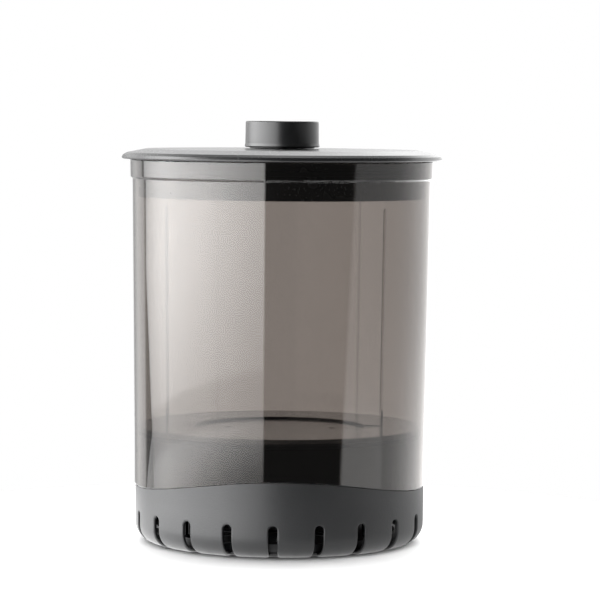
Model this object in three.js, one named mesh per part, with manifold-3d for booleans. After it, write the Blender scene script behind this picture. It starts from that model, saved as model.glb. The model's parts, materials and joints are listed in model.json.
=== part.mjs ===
// Water vessel of a countertop sous vide circulator: a smoke-tinted clear wall under a lift-off lid,
// on a slotted base that holds the heater, the motor and the circulation impeller.
// Millimetres, +Z up. The origin is the centre of the footprint on the surface. The front faces -Y.

import * as THREE from "three";
import { mergeVertices } from "three/addons/utils/BufferGeometryUtils.js";
import Module from "manifold-3d";

const wasm = await Module();
wasm.setup();

// ---------------------------------------------------------------- driving dimensions

// Clearances.
const gap = 0.3; // between pieces that touch
const slip = 0.3; // round a shaft or a screw, on the radius
const weld = 0.2; // how far joined shapes run into each other

// Clear wall.
const mouthRadius = 80; // outside, just under the collar
const wallTop = 194.2; // where the collar starts
const wallThickness = 2.1;
const draft = 0.013; // the radius grows by this much for each mm of height
const collarStep = 1.1;
const collarHeight = 10;
const collarLean = 0.2;
const ribDepth = 1;
const ribWidth = 1.4;
const ribAngles = [43, 145.4, -152.4, -49.5]; // degrees from the front, positive towards +X

// Wavy joint between the wall and the boot. It is highest at the front and the back.
const waveLow = 30.5;
const waveRise = 9.3;
const waveReach = 75; // degrees from each crest to where the joint turns level

// Lid and knob.
const rimOverhang = 4.6;
const rimHeight = 4.4;
const domeRise = 1.5;
const lidThickness = 2.5;
const skirtDepth = 20;
const skirtThickness = 2.2;
const skirtPlay = 0.65; // between the skirt and the wall
const lidSealHeight = 2.4;
const lidSealLevel = 7.4; // below the flange
const lidSealSection = 1.4;
const knobRadius = 19.6;
const knobHeight = 13.9;
const knobNeck = 0.6; // height of the narrower foot that the knob stands on
const knobNeckStep = 2.2;
const knobScrewRadius = 1.4;
const knobScrewLength = 12;
const washerRadius = 6;
const washerThickness = 1.3;

// Floor plug.
const floorTop = 62.1;
const plugSideThickness = 2.3;
const plugTopThickness = 2.8;
const plugRimHeight = 2.6;
const plugRimStep = 0.4;
const plugFoot = 26; // lower end of its side
const plugSealHeight = 2;
const plugSealSection = 1.5;

// Cover disc over the impeller, and its seat.
const coverRadius = 45;
const coverThickness = 1.7;
const coverSink = 1.6; // below the floor
const tabReach = 9.5;
const tabWidth = 6;
const coverHoles = [ // one of each on either side
  { offset: 36, radius: 1.3 },
  { offset: 28, radius: 2.1 },
];

// Impeller chamber and heater.
const chamberRadius = 34.3;
const chamberDepth = 11.5;
const chamberWall = 2.2;
const lipThickness = 3;
const plateThickness = 2;
const plateClear = 0.8; // between the hot plate and the chamber's wall
const plateSeat = 7.5; // how far the plate's edge rests on the lip
const plateBossDepth = 9.6;
const plateRimThickness = 3.5;
const gasketThickness = 1;
const nutHeight = 3.4;
const nutWidth = 5.5;
const hubBoreRadius = 6;
const hubWall = 3;
const elementTube = 2.8;
const elementSpan = 240; // degrees of arc
const cutoutClear = 1; // to the walls of the pocket under the plate
const cutoutHeight = 4.3;
const sensorRadius = 2.2;
const sensorHeight = 5.5;
const sensorAngle = 145;
const terminalRadius = 1.2;
const terminalLength = 6;

// Impeller and its shaft.
const impellerRadius = 24;
const impellerDisc = 1.5;
const vaneHeight = 4.3;
const vaneThickness = 1.6;
const vaneCount = 6;
const impellerHubRadius = 6;
const impellerLift = 1.4; // above the hot plate
const shaftRadius = 2.5;
const shaftSealHeight = 2.7;
const couplingRadius = 6;
const couplingHeight = 10;
const motorShaftRadius = 1.5;

// Motor and its mount.
const motorRadius = 15;
const motorClear = 2; // above the bottom cover
const motorBossRadius = 5;
const motorBossHeight = 2.2;
const mountThickness = 2;
const mountHalfWidth = 16;
const mountEnd = 5; // past its outer screws
const mountPostClear = 2.4; // between its posts and the seat of the cover disc
const motorScrewOffset = 10;

// Boot.
const bootRecess = 0.25; // behind the foot of the clear wall
const bootWall = 1.9;
const bootLip = 0.35;
const bootCorner = 10.5;
const bootStraight = 24; // plain and round below this height
const ringWidth = 5; // flat ring that the boot stands on
const flangeThickness = 2.2;
const lugReach = 8; // inwards from the ring
const lugWidth = 10;
const slotCount = 20;
const slotWidth = 4.7;
const slotTop = 17.5;
const slotTurn = -2.36; // degrees, of the slot nearest the front

// Bottom cover and feet.
const bottomLevel = 1.6;
const bottomThickness = 2.2;
const grilleCount = 12;
const grilleInner = 20;
const grilleOuter = 36;
const grilleWidth = 3;
const padRadius = 7;
const padStep = 12; // from the circle of the cover's screws inwards to the circle of the pads
const coverScrewAngles = [55, 125, -125, -55];

// Screws.
const screwRadius = 1.5;
const screwHeadRadius = 2.9;
const screwHeadHeight = 0.9;
const bossRadius = 3.8;
const coverScrewLength = 16;
const mountScrewLength = 12;
const motorScrewLength = 7;
const boardScrewLength = 9;

// Control board.
const boardWidth = 56;
const boardDepth = 26;
const boardThickness = 1.6;
const boardLift = 10; // above the bottom cover
const pillarRadius = 3;
const pillarInset = 4;
const moduleSize = [20, 14, 9];
const relaySize = [9, 14, 11];
const terminalBlockSize = [16, 6, 7];
const capacitorRadius = 4.5;
const capacitorHeight = 12;
const moduleOffset = -9;
const relayOffset = 9.5;
const partsGap = 3; // from the board's near edge to the parts on it

// Power inlet.
const inletWidth = 20;
const inletHeight = 11;
const inletDepth = 14;
const inletLevel = 21.5; // its lower edge
const inletFlange = 2.2;
const inletFlangeThickness = 1.4;
const socketWidth = 15;
const socketHeight = 8;
const socketDepth = 11.5;
const pinRadius = 1.2;
const pinSpacing = 8.6;
const pinLength = 12;

// Facets.
const round = 40; // sides of a wide round piece
const bootSides = 40;
const slim = 16; // sides of a narrow one
const tiny = 8; // sides of a screw or a hole

// ---------------------------------------------------------------- sizes worked out from them

const waveHigh = waveLow + waveRise;
const mouthTop = wallTop + collarHeight;
const flangeUnder = mouthTop + gap;
const lidTop = flangeUnder + rimHeight + domeRise;
const lidUnderside = lidTop - lidThickness;
const seatLevel = floorTop - coverSink - coverThickness - gap;
const chamberFloor = seatLevel - chamberDepth;
const gasketBase = chamberFloor + gap;
const plateUnder = gasketBase + gasketThickness + gap;
const plateTop = plateUnder + plateThickness;
const plateFoot = plateUnder - plateBossDepth;
const impellerBase = plateTop + impellerLift;
const impellerTop = impellerBase + impellerDisc + vaneHeight;
const shaftTop = impellerTop - 1;
const couplingTop = plateFoot - 1;
const couplingBase = couplingTop - couplingHeight;
const couplingMiddle = (couplingTop + couplingBase) / 2;
const mountTop = couplingBase - 3.4;
const mountUnder = mountTop - mountThickness;
const motorTop = mountUnder - gap;
const mountPostOffset = coverRadius + gap + mountPostClear + bossRadius;
const mountHalfLength = mountPostOffset + mountEnd;
const bottomTop = bottomLevel + bottomThickness;
const motorFoot = bottomTop + motorClear;
const plateRadius = chamberRadius - plateClear;
const lipRadius = plateRadius - plateSeat;
const pocketInner = hubBoreRadius + hubWall;
const pocketOuter = lipRadius - gap - weld - plateRimThickness;
const flangeLevel = bottomTop + gap;
const bootRadius = wallRadius(waveLow) - bootRecess;
const bootInner = bootRadius - bootWall;
const ringOuter = bootRadius - bootCorner;
const ringInner = ringOuter - ringWidth;
const bottomRadius = ringInner - gap;
const coverScrewCircle = ringInner - lugReach / 2;
const boardBase = bottomTop + boardLift + gap;
const boardTop = boardBase + boardThickness;
const pillarX = boardWidth / 2 - pillarInset;
const pillarLimit = Math.sqrt((bottomRadius - pillarRadius - gap) ** 2 - pillarX ** 2);
const boardMiddle = (motorRadius + pillarLimit + pillarInset) / 2;
const elementCircle = (pocketInner + pocketOuter) / 2;
const elementLevel = plateUnder - gap - elementTube;

function wallRadius(height) {
  return mouthRadius - draft * (wallTop - height);
}

function boreRadius(height) {
  return wallRadius(height) - wallThickness;
}

function radians(degrees) {
  return THREE.MathUtils.degToRad(degrees);
}

// A point on a circle. The angle is in degrees from the front, -Y, positive towards +X.
function onCircle(radius, angle) {
  return [radius * Math.sin(radians(angle)), -radius * Math.cos(radians(angle))];
}

// Height of the wavy joint at an angle from the front, the same at the front and the back.
function waveHeight(angle) {
  const turn = Math.abs(angle);
  const fromCrest = Math.min(turn, 180 - turn);
  const share = Math.min(fromCrest / waveReach, 1);
  return waveLow + (waveRise * (1 + Math.cos(Math.PI * share))) / 2;
}

// ---------------------------------------------------------------- shapes

// Leaves only positions, shares the vertices and drops the triangles that have no area.
function closed(geometry) {
  geometry.deleteAttribute("normal");
  geometry.deleteAttribute("uv");
  const merged = mergeVertices(geometry, 1e-4);
  const index = merged.getIndex();
  const kept = [];
  for (let i = 0; i < index.count; i += 3) {
    const [a, b, c] = [index.getX(i), index.getX(i + 1), index.getX(i + 2)];
    if (a !== b && b !== c && c !== a) kept.push(a, b, c);
  }
  merged.setIndex(kept);
  return merged;
}

// A turned solid about +Z. The points run up the outside of the half section, as [radius, height].
function turned(points, sides) {
  const profile = points.map(([radius, height]) => new THREE.Vector2(radius, height));
  if (profile[0].x > 0) profile.push(profile[0].clone());
  const geometry = new THREE.LatheGeometry(profile, sides);
  geometry.rotateX(Math.PI / 2);
  return closed(geometry);
}

function rod(radius, bottom, top, sides = tiny) {
  return turned([[0, bottom], [radius, bottom], [radius, top], [0, top]], sides);
}

function ring(inner, outer, bottom, top, sides = slim) {
  return turned([[inner, bottom], [outer, bottom], [outer, top], [inner, top]], sides);
}

function block(width, depth, bottom, top) {
  const geometry = new THREE.BoxGeometry(width, depth, top - bottom);
  geometry.translate(0, 0, (top + bottom) / 2);
  return closed(geometry);
}

// Points of an arc in a half section, from one angle to another in degrees about its centre.
function arc(centre, radius, from, to, steps) {
  const points = [];
  for (let i = 0; i <= steps; i += 1) {
    const angle = radians(from + ((to - from) * i) / steps);
    points.push([centre[0] + radius * Math.cos(angle), centre[1] + radius * Math.sin(angle)]);
  }
  return points;
}

// A flat outline with a width across x, extruded in +y between two distances from the axis.
function radial(shape, near, far, angle) {
  const geometry = new THREE.ExtrudeGeometry(shape, {
    depth: far - near,
    bevelEnabled: false,
    curveSegments: 5,
  });
  geometry.translate(0, 0, -far);
  geometry.rotateX(Math.PI / 2);
  geometry.rotateZ(Math.PI + radians(angle));
  return closed(geometry);
}

function placed(geometry, x, y, z = 0) {
  return geometry.clone().translate(x, y, z);
}

// ---------------------------------------------------------------- joining and cutting

function toManifold(geometry) {
  return new wasm.Manifold(
    new wasm.Mesh({
      numProp: 3,
      vertProperties: new Float32Array(geometry.getAttribute("position").array),
      triVerts: new Uint32Array(geometry.getIndex().array),
    }),
  );
}

function fromManifold(manifold) {
  const mesh = manifold.getMesh();
  const geometry = new THREE.BufferGeometry();
  geometry.setAttribute("position", new THREE.BufferAttribute(mesh.vertProperties, 3));
  geometry.setIndex(new THREE.BufferAttribute(mesh.triVerts, 1));
  return geometry;
}

function joined(...shapes) {
  return fromManifold(shapes.map(toManifold).reduce((whole, shape) => whole.add(shape)));
}

function cut(body, ...tools) {
  return fromManifold(tools.map(toManifold).reduce((left, tool) => left.subtract(tool), toManifold(body)));
}

// Moves one end of a turned solid onto the wavy joint. The vertices past the level that stays put are
// stretched or squeezed in height, so that the crest's height becomes the wave's, plus a lift.
function onWave(geometry, fixed, lift) {
  const position = geometry.getAttribute("position");
  const crest = waveHigh + lift;
  const side = Math.sign(crest - fixed);
  for (let i = 0; i < position.count; i += 1) {
    const height = position.getZ(i);
    const angle = THREE.MathUtils.radToDeg(Math.atan2(position.getX(i), -position.getY(i)));
    const stretch = (waveHeight(angle) + lift - fixed) / (crest - fixed);
    if ((height - fixed) * side > 0) position.setZ(i, fixed + (height - fixed) * stretch);
  }
  return geometry;
}

// ---------------------------------------------------------------- materials

function finish(color, roughness, metalness, opacity = 1) {
  return new THREE.MeshStandardMaterial({
    color,
    roughness,
    metalness,
    opacity,
    transparent: opacity < 1,
    flatShading: true,
  });
}

const smokeClear = finish(0x6e6862, 0.05, 0, 0.45);
const lidGrey = finish(0x2f3032, 0.45, 0);
const knobGrey = finish(0x333436, 0.42, 0);
const glossBlack = finish(0x0b0b0c, 0.12, 0);
const bootMatt = finish(0x36373a, 0.6, 0);
const rubber = finish(0x19191a, 0.85, 0);
const coverGrey = finish(0x3a3835, 0.25, 0);
const steel = finish(0xa9abad, 0.28, 1);
const aluminium = finish(0xb4b6b8, 0.4, 1);
const brass = finish(0xb08d4a, 0.35, 1);
const greyPlastic = finish(0x55585b, 0.55, 0);
const boardGreen = finish(0x1d4a32, 0.5, 0);
const partBlack = finish(0x161718, 0.4, 0);
const whitePlastic = finish(0xd8d6d0, 0.5, 0);

// ---------------------------------------------------------------- scene graph

const circulator = new THREE.Group();
circulator.name = "sous_vide_circulator";

function add(name, geometry, material, x = 0, y = 0, z = 0) {
  const mesh = new THREE.Mesh(geometry, material);
  mesh.name = name;
  mesh.position.set(x, y, z);
  circulator.add(mesh);
}

// A pan-head screw along +Z with its head below the origin, or above it when turned over.
function screw(length, radius = screwRadius, headRadius = screwHeadRadius) {
  return turned(
    [
      [0, -screwHeadHeight],
      [headRadius * 0.8, -screwHeadHeight],
      [headRadius, -screwHeadHeight / 2],
      [headRadius, 0],
      [radius, 0],
      [radius, length],
      [0, length],
    ],
    tiny,
  );
}

function flipped(geometry) {
  return geometry.rotateX(Math.PI);
}

// ---------------------------------------------------------------- vessel and lid

function vessel() {
  const collarRadius = mouthRadius + collarStep;
  const footTop = waveHigh + gap;
  const wallStraight = floorTop - 10;
  const edge = 0.8;
  const wall = turned(
    [
      [boreRadius(footTop), footTop],
      [wallRadius(footTop) - edge, footTop],
      [wallRadius(footTop), footTop + edge],
      [wallRadius(wallStraight), wallStraight],
      [mouthRadius, wallTop],
      [collarRadius - edge, wallTop + gap],
      [collarRadius, wallTop + gap + edge],
      [collarRadius + collarLean, mouthTop - edge],
      [collarRadius + collarLean - edge, mouthTop],
      [boreRadius(mouthTop) + edge, mouthTop],
      [boreRadius(mouthTop), mouthTop - edge],
      [boreRadius(wallStraight), wallStraight],
    ],
    round,
  );
  const ribBottom = floorTop + gap;
  const ribTop = flangeUnder - skirtDepth - 4;
  const lean = Math.atan(draft);
  const reach = ribDepth + wallThickness / 2;
  const ribs = ribAngles.map((angle) => {
    const rib = block(ribWidth, reach, ribBottom, ribTop);
    rib.translate(0, 0, -ribBottom);
    rib.rotateX(lean);
    rib.translate(0, -(boreRadius(ribBottom) * Math.cos(Math.PI / round) + weld - ribDepth + reach / 2), ribBottom);
    return rib.rotateZ(radians(angle));
  });
  add("vessel", joined(onWave(wall, wallStraight, gap), ...ribs), smokeClear);
}

function lid() {
  const skirtFoot = flangeUnder - skirtDepth;
  const skirtRadius = boreRadius(skirtFoot) - skirtPlay;
  const skirtInner = skirtRadius - skirtThickness;
  const rimRadius = mouthRadius + collarStep + collarLean + rimOverhang;
  const rimTop = flangeUnder + rimHeight;
  const sealTop = flangeUnder - lidSealLevel + lidSealHeight + gap;
  const sealFoot = flangeUnder - lidSealLevel - gap;
  const grooveRadius = skirtRadius - lidSealSection + gap;
  const knobSeat = knobRadius + 1;
  const hole = knobScrewRadius + slip;
  add(
    "lid",
    turned(
      [
        [hole, lidUnderside],
        [rimRadius * 0.67, lidUnderside - 0.5],
        [skirtInner, rimTop - lidThickness],
        [skirtInner, skirtFoot],
        [skirtRadius - 0.4, skirtFoot],
        [skirtRadius, skirtFoot + 0.4],
        [skirtRadius, sealFoot],
        [grooveRadius, sealFoot],
        [grooveRadius, sealTop],
        [skirtRadius, sealTop],
        [skirtRadius, flangeUnder],
        [rimRadius - 3.7, flangeUnder],
        [rimRadius - 0.7, flangeUnder + 0.2],
        [rimRadius, flangeUnder + 0.9],
        [rimRadius - 0.8, flangeUnder + 2.4],
        [rimRadius - 2.9, flangeUnder + 3.6],
        [rimRadius - 7, rimTop],
        [rimRadius - 13, rimTop + domeRise * 0.8],
        [rimRadius - 28, rimTop + domeRise * 0.95],
        [knobSeat, lidTop],
        [hole, lidTop],
      ],
      round,
    ),
    lidGrey,
  );
  add(
    "lid_seal",
    ring(
      grooveRadius + gap,
      skirtRadius + gap,
      sealFoot + gap,
      sealTop - gap,
      round,
    ),
    rubber,
  );
}

function knob() {
  const foot = lidTop + gap;
  const body = foot + knobNeck;
  const top = body + knobHeight;
  const bore = knobScrewRadius + slip;
  const washerTop = lidUnderside - gap;
  const headTop = washerTop - washerThickness - gap;
  const boreTop = headTop + knobScrewLength + gap;
  add(
    "lid_knob",
    turned(
      [
        [0, boreTop],
        [bore, boreTop],
        [bore, foot],
        [knobRadius - knobNeckStep, foot],
        [knobRadius - knobNeckStep, body],
        [knobRadius - 0.6, body],
        [knobRadius + 0.5, body + 0.8],
        [knobRadius + 0.25, body + 2.6],
        [knobRadius, top - 0.8],
        [knobRadius - 0.25, top - 0.25],
        [knobRadius - 0.8, top],
        [0, top],
      ],
      36,
    ),
    knobGrey,
  );
  add("knob_washer", ring(bore, washerRadius, washerTop - washerThickness, washerTop), steel);
  add("knob_screw", screw(knobScrewLength, knobScrewRadius, washerRadius - 1.5), steel, 0, 0, headTop);
}

// ---------------------------------------------------------------- floor of the bath

function postAt(x, y, bottom, holeDepth) {
  const top = floorTop - plugTopThickness + weld;
  return {
    post: placed(rod(bossRadius, bottom, top), x, y),
    hole: placed(rod(screwRadius + slip, bottom - 1, bottom + holeDepth), x, y),
  };
}

function floorPlug() {
  const rimRadius = boreRadius(floorTop) - gap;
  const rimFoot = floorTop - plugRimHeight;
  const sealFoot = rimFoot - plugSealHeight - 2 * gap;
  const sideTop = boreRadius(sealFoot) - gap - plugRimStep;
  const sideFoot = boreRadius(waveHigh) - gap - plugRimStep;
  const inner = sideFoot - plugSideThickness;
  const grooveRadius = rimRadius - plugSealSection;
  const seatRadius = coverRadius + gap;
  const under = floorTop - plugTopThickness;
  const seatUnder = seatLevel - plugTopThickness;
  const chamberOuter = chamberRadius + chamberWall;
  const lipUnder = chamberFloor - lipThickness;
  const body = turned(
    [
      [lipRadius, lipUnder],
      [chamberOuter, lipUnder],
      [chamberOuter, seatUnder],
      [seatRadius + plugTopThickness, seatUnder],
      [seatRadius + 2 * plugTopThickness, under],
      [inner, under],
      [inner, plugFoot],
      [sideFoot, plugFoot],
      [sideFoot, waveHigh],
      [sideTop, sealFoot],
      [grooveRadius, sealFoot],
      [grooveRadius, rimFoot],
      [rimRadius, rimFoot],
      [rimRadius, floorTop - 0.5],
      [rimRadius - 0.5, floorTop],
      [seatRadius, floorTop],
      [seatRadius, seatLevel],
      [chamberRadius, seatLevel],
      [chamberRadius, chamberFloor],
      [lipRadius, chamberFloor],
    ],
    round,
  );
  const posts = coverScrewAngles.map((angle) => {
    const [x, y] = onCircle(coverScrewCircle, angle);
    return postAt(x, y, flangeLevel + flangeThickness + gap, coverScrewLength);
  });
  for (const side of [-1, 1]) {
    posts.push(postAt(side * mountPostOffset, 0, mountTop + gap, mountScrewLength));
  }
  const tabEnd = coverRadius + tabReach + gap;
  const notch = block(tabEnd - chamberRadius, tabWidth + 2 * gap, seatLevel, floorTop + 1);
  notch.translate((tabEnd + chamberRadius) / 2, 0, 0);
  const backing = block(tabEnd + 2 - coverRadius, tabWidth + 5, seatUnder, under + weld);
  backing.translate((tabEnd + 2 + coverRadius) / 2, 0, 0);
  const doorway = block(
    inletWidth + 2 * inletFlange + 2,
    2 * plugSideThickness + 8,
    plugFoot - 1,
    inletLevel + inletHeight + inletFlange + 1,
  );
  doorway.translate(0, sideFoot - plugSideThickness / 2, 0);
  const whole = joined(body, backing, ...posts.map((each) => each.post));
  const seat = rod(seatRadius, seatLevel, floorTop + 1, round);
  add("floor_plug", cut(whole, seat, notch, doorway, ...posts.map((each) => each.hole)), glossBlack);
  add(
    "vessel_seal",
    ring(grooveRadius + gap, rimRadius, sealFoot + gap, rimFoot - gap, round),
    rubber,
  );
}

function impellerCover() {
  const top = floorTop - coverSink;
  const bottom = top - coverThickness;
  const disc = turned(
    [[0, bottom], [coverRadius, bottom], [coverRadius, top - 0.3], [coverRadius - 0.3, top], [0, top]],
    round,
  );
  const tab = block(tabReach + 4, tabWidth, bottom, top);
  tab.translate(coverRadius + (tabReach - 4) / 2, 0, 0);
  const holes = coverHoles.flatMap(({ offset, radius }) =>
    [-offset, offset].map((x) => placed(rod(radius, bottom - 1, top + 1, tiny), x, 0)),
  );
  add("impeller_cover", cut(joined(disc, tab), ...holes), coverGrey);
}

// ---------------------------------------------------------------- heater

function heater() {
  const rimOuter = pocketOuter + plateRimThickness;
  add(
    "heater_plate",
    turned(
      [
        [hubBoreRadius, plateFoot],
        [pocketInner, plateFoot],
        [pocketInner, plateUnder],
        [pocketOuter, plateUnder],
        [pocketOuter, plateFoot],
        [rimOuter, plateFoot],
        [rimOuter, plateUnder],
        [plateRadius, plateUnder],
        [plateRadius, plateTop],
        [hubBoreRadius, plateTop],
      ],
      round,
    ),
    steel,
  );
  add("plate_gasket", ring(lipRadius + gap, plateRadius - gap, gasketBase, gasketBase + gasketThickness, round), rubber);
  const nutTop = chamberFloor - lipThickness - gap;
  add("plate_nut", ring(rimOuter + gap, lipRadius + nutWidth, nutTop - nutHeight, nutTop, round), brass);

  // The sheathed ring is open at -X, where the cut-out and the sensor touch the plate.
  const half = radians(elementSpan / 2);
  const arcPath = new THREE.EllipseCurve(0, 0, elementCircle, elementCircle, -half, half);
  const points = arcPath.getPoints(20).map((point) => new THREE.Vector3(point.x, point.y, 0));
  const section = new THREE.Shape().absarc(0, 0, elementTube, 0, 2 * Math.PI, false);
  const tube = new THREE.ExtrudeGeometry(section, {
    steps: 18,
    curveSegments: 5,
    bevelEnabled: false,
    extrudePath: new THREE.CatmullRomCurve3(points),
  });
  add("heater_element", closed(tube), steel, 0, 0, elementLevel);
  for (const side of [-1, 1]) {
    const top = elementLevel - elementTube - gap;
    const x = elementCircle * Math.cos(half * 0.96);
    const y = side * elementCircle * Math.sin(half * 0.96);
    const name = side < 0 ? "element_terminal_front" : "element_terminal_back";
    add(name, rod(terminalRadius, top - terminalLength, top), steel, x, y);
  }
  const plateFace = plateUnder - gap;
  const cutoutRadius = (pocketOuter - pocketInner) / 2 - cutoutClear;
  add("thermal_cutout", rod(cutoutRadius, plateFace - cutoutHeight, plateFace, slim), whitePlastic, -elementCircle);
  const sensorX = elementCircle * Math.cos(radians(sensorAngle));
  const sensorY = elementCircle * Math.sin(radians(sensorAngle));
  add("temperature_sensor", rod(sensorRadius, plateFace - sensorHeight, plateFace), brass, sensorX, sensorY);
}

// ---------------------------------------------------------------- rotating parts

function drive() {
  const discTop = impellerBase + impellerDisc;
  const disc = turned(
    [
      [0, shaftTop + gap],
      [shaftRadius + slip, shaftTop + gap],
      [shaftRadius + slip, impellerBase],
      [impellerRadius, impellerBase],
      [impellerRadius, discTop],
      [impellerHubRadius, discTop],
      [impellerHubRadius, impellerTop],
      [0, impellerTop + 0.5],
    ],
    slim,
  );
  const vanes = Array.from({ length: vaneCount }, (_, i) => {
    const length = impellerRadius - impellerHubRadius;
    const vane = block(length, vaneThickness, discTop - weld, impellerTop);
    vane.translate(impellerHubRadius + length / 2 - 0.5, 0, 0);
    return vane.rotateZ(radians((360 / vaneCount) * i));
  });
  add("impeller", joined(disc, ...vanes), greyPlastic);
  add("impeller_shaft", rod(shaftRadius, couplingMiddle + gap, shaftTop, slim), steel);
  const sealTop = plateTop - gap;
  add("shaft_seal", ring(shaftRadius + slip, hubBoreRadius - gap, sealTop - shaftSealHeight, sealTop), rubber);
  add(
    "shaft_bush",
    ring(shaftRadius + slip, hubBoreRadius - gap, plateFoot, sealTop - shaftSealHeight - gap),
    brass,
  );
  add(
    "coupling",
    turned(
      [
        [0, couplingMiddle - 1],
        [motorShaftRadius + slip, couplingMiddle - 1],
        [motorShaftRadius + slip, couplingBase],
        [couplingRadius, couplingBase],
        [couplingRadius, couplingTop],
        [shaftRadius + slip, couplingTop],
        [shaftRadius + slip, couplingMiddle],
        [0, couplingMiddle],
      ],
      slim,
    ),
    greyPlastic,
  );
  add("motor_shaft", rod(motorShaftRadius, motorTop - 2, couplingMiddle - 1 - gap), steel);
}

function motor() {
  const bossTop = motorTop + motorBossHeight + gap;
  const bore = motorShaftRadius + slip;
  const can = turned(
    [
      [0, motorFoot],
      [motorRadius - 1, motorFoot],
      [motorRadius, motorFoot + 1],
      [motorRadius, motorTop],
      [motorBossRadius, motorTop],
      [motorBossRadius, bossTop],
      [bore, bossTop],
      [bore, motorTop - 2 - gap],
      [0, motorTop - 2 - gap],
    ],
    slim,
  );
  const depth = motorScrewLength - mountThickness - gap;
  const taps = [-1, 1].map((side) =>
    placed(rod(screwRadius + slip, motorTop - depth - gap, motorTop + 1), side * motorScrewOffset, 0),
  );
  add("motor_can", cut(can, ...taps), steel);

  const outline = new THREE.Shape()
    .moveTo(-mountHalfLength, -mountHalfWidth / 3)
    .lineTo(-mountHalfWidth, -mountHalfWidth)
    .lineTo(mountHalfWidth, -mountHalfWidth)
    .lineTo(mountHalfLength, -mountHalfWidth / 3)
    .lineTo(mountHalfLength, mountHalfWidth / 3)
    .lineTo(mountHalfWidth, mountHalfWidth)
    .lineTo(-mountHalfWidth, mountHalfWidth)
    .lineTo(-mountHalfLength, mountHalfWidth / 3);
  const plate = closed(new THREE.ExtrudeGeometry(outline, { depth: mountThickness, bevelEnabled: false }));
  plate.translate(0, 0, mountUnder);
  const holes = [rod(motorBossRadius + slip, mountUnder - 1, mountTop + 1, slim)];
  for (const x of [-mountPostOffset, -motorScrewOffset, motorScrewOffset, mountPostOffset]) {
    holes.push(placed(rod(screwRadius + slip, mountUnder - 1, mountTop + 1), x, 0));
  }
  add("motor_mount", cut(plate, ...holes), aluminium);

  for (const side of [-1, 1]) {
    const hand = side < 0 ? "left" : "right";
    add(`mount_screw_${hand}`, screw(mountScrewLength), steel, side * mountPostOffset, 0, mountUnder - gap);
    add(`motor_screw_${hand}`, flipped(screw(motorScrewLength)), steel, side * motorScrewOffset, 0, mountTop + gap);
  }
}

// ---------------------------------------------------------------- control board

function board() {
  const corners = [];
  for (const sideX of [-1, 1]) {
    for (const sideY of [-1, 1]) {
      corners.push([sideX * pillarX, sideY * (boardDepth / 2 - pillarInset)]);
    }
  }
  const holes = corners.map(([x, y]) => placed(rod(screwRadius + slip, boardBase - 1, boardTop + 1), x, y));
  add("control_board", cut(block(boardWidth, boardDepth, boardBase, boardTop), ...holes), boardGreen, 0, boardMiddle);
  corners.forEach(([x, y], i) => {
    const name = `board_screw_${i + 1}`;
    add(name, flipped(screw(boardScrewLength)), steel, x, boardMiddle + y, boardTop + gap);
  });
  const partsBase = boardTop + gap;
  const boardFront = boardMiddle - boardDepth / 2;
  const partsMiddle = boardFront + partsGap + moduleSize[1] / 2;
  const boxed = ([width, depth, height]) => block(width, depth, partsBase, partsBase + height);
  add("power_module", boxed(moduleSize), partBlack, moduleOffset, partsMiddle);
  add("relay", boxed(relaySize), whitePlastic, relayOffset, partsMiddle);
  const row = boardFront + boardDepth - partsGap - terminalBlockSize[1] / 2 + 2;
  add("terminal_block", boxed(terminalBlockSize), greyPlastic, 0, row);
  const capacitor = rod(capacitorRadius, partsBase, partsBase + capacitorHeight, slim);
  add("capacitor", capacitor, partBlack, boardWidth / 2 - capacitorRadius - 3, boardMiddle);
  return corners;
}

// ---------------------------------------------------------------- boot, bottom cover and inlet

function slotShape(width, bottom, top) {
  return new THREE.Shape()
    .moveTo(-width / 2, bottom)
    .lineTo(width / 2, bottom)
    .lineTo(width / 2, top - width / 2)
    .absarc(0, top - width / 2, width / 2, 0, Math.PI, false);
}

function boot() {
  const innerCorner = bootCorner - flangeThickness;
  const stepInner = ringInner + flangeThickness;
  const flangeTop = flangeLevel + flangeThickness;
  const shell = turned(
    [
      [ringInner, 0],
      ...arc([ringOuter, bootCorner], bootCorner, -90, 0, 5),
      [bootRadius, bootStraight],
      [bootRadius + 0.05, waveHigh - 7],
      [bootRadius + bootLip, waveHigh - 2.5],
      [bootRadius + bootLip, waveHigh - 0.5],
      [bootRadius + bootLip - 0.5, waveHigh],
      [bootInner, waveHigh],
      [bootInner, bootStraight],
      ...arc([ringOuter, bootCorner], bootCorner - bootWall, 0, -90, 3).slice(0, -1),
      [ringOuter, bootCorner - innerCorner],
      [stepInner, bootCorner - innerCorner],
      [stepInner, flangeTop],
      [ringInner, flangeTop],
    ],
    bootSides,
  );
  const slots = Array.from({ length: slotCount }, (_, i) =>
    radial(slotShape(slotWidth, -1, slotTop), stepInner + 1, bootRadius + 2, slotTurn + (360 / slotCount) * i),
  );
  const holes = coverScrewAngles.map((angle) =>
    placed(rod(screwRadius + slip, flangeLevel - 1, flangeTop + 1), ...onCircle(coverScrewCircle, angle)),
  );
  const lugs = coverScrewAngles.map((angle) => {
    const lug = block(lugWidth, lugReach + flangeThickness, flangeLevel, flangeTop);
    lug.translate(0, -(stepInner - (lugReach + flangeThickness) / 2 - weld), 0);
    return lug.rotateZ(radians(angle));
  });
  const doorway = block(inletWidth + 2 * gap, 12, inletLevel - gap, inletLevel + inletHeight + gap);
  doorway.translate(0, bootRadius, 0);
  const whole = joined(onWave(shell, bootStraight, 0), ...lugs);
  add("base_boot", cut(whole, ...slots, ...holes, doorway), bootMatt);
}

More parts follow.
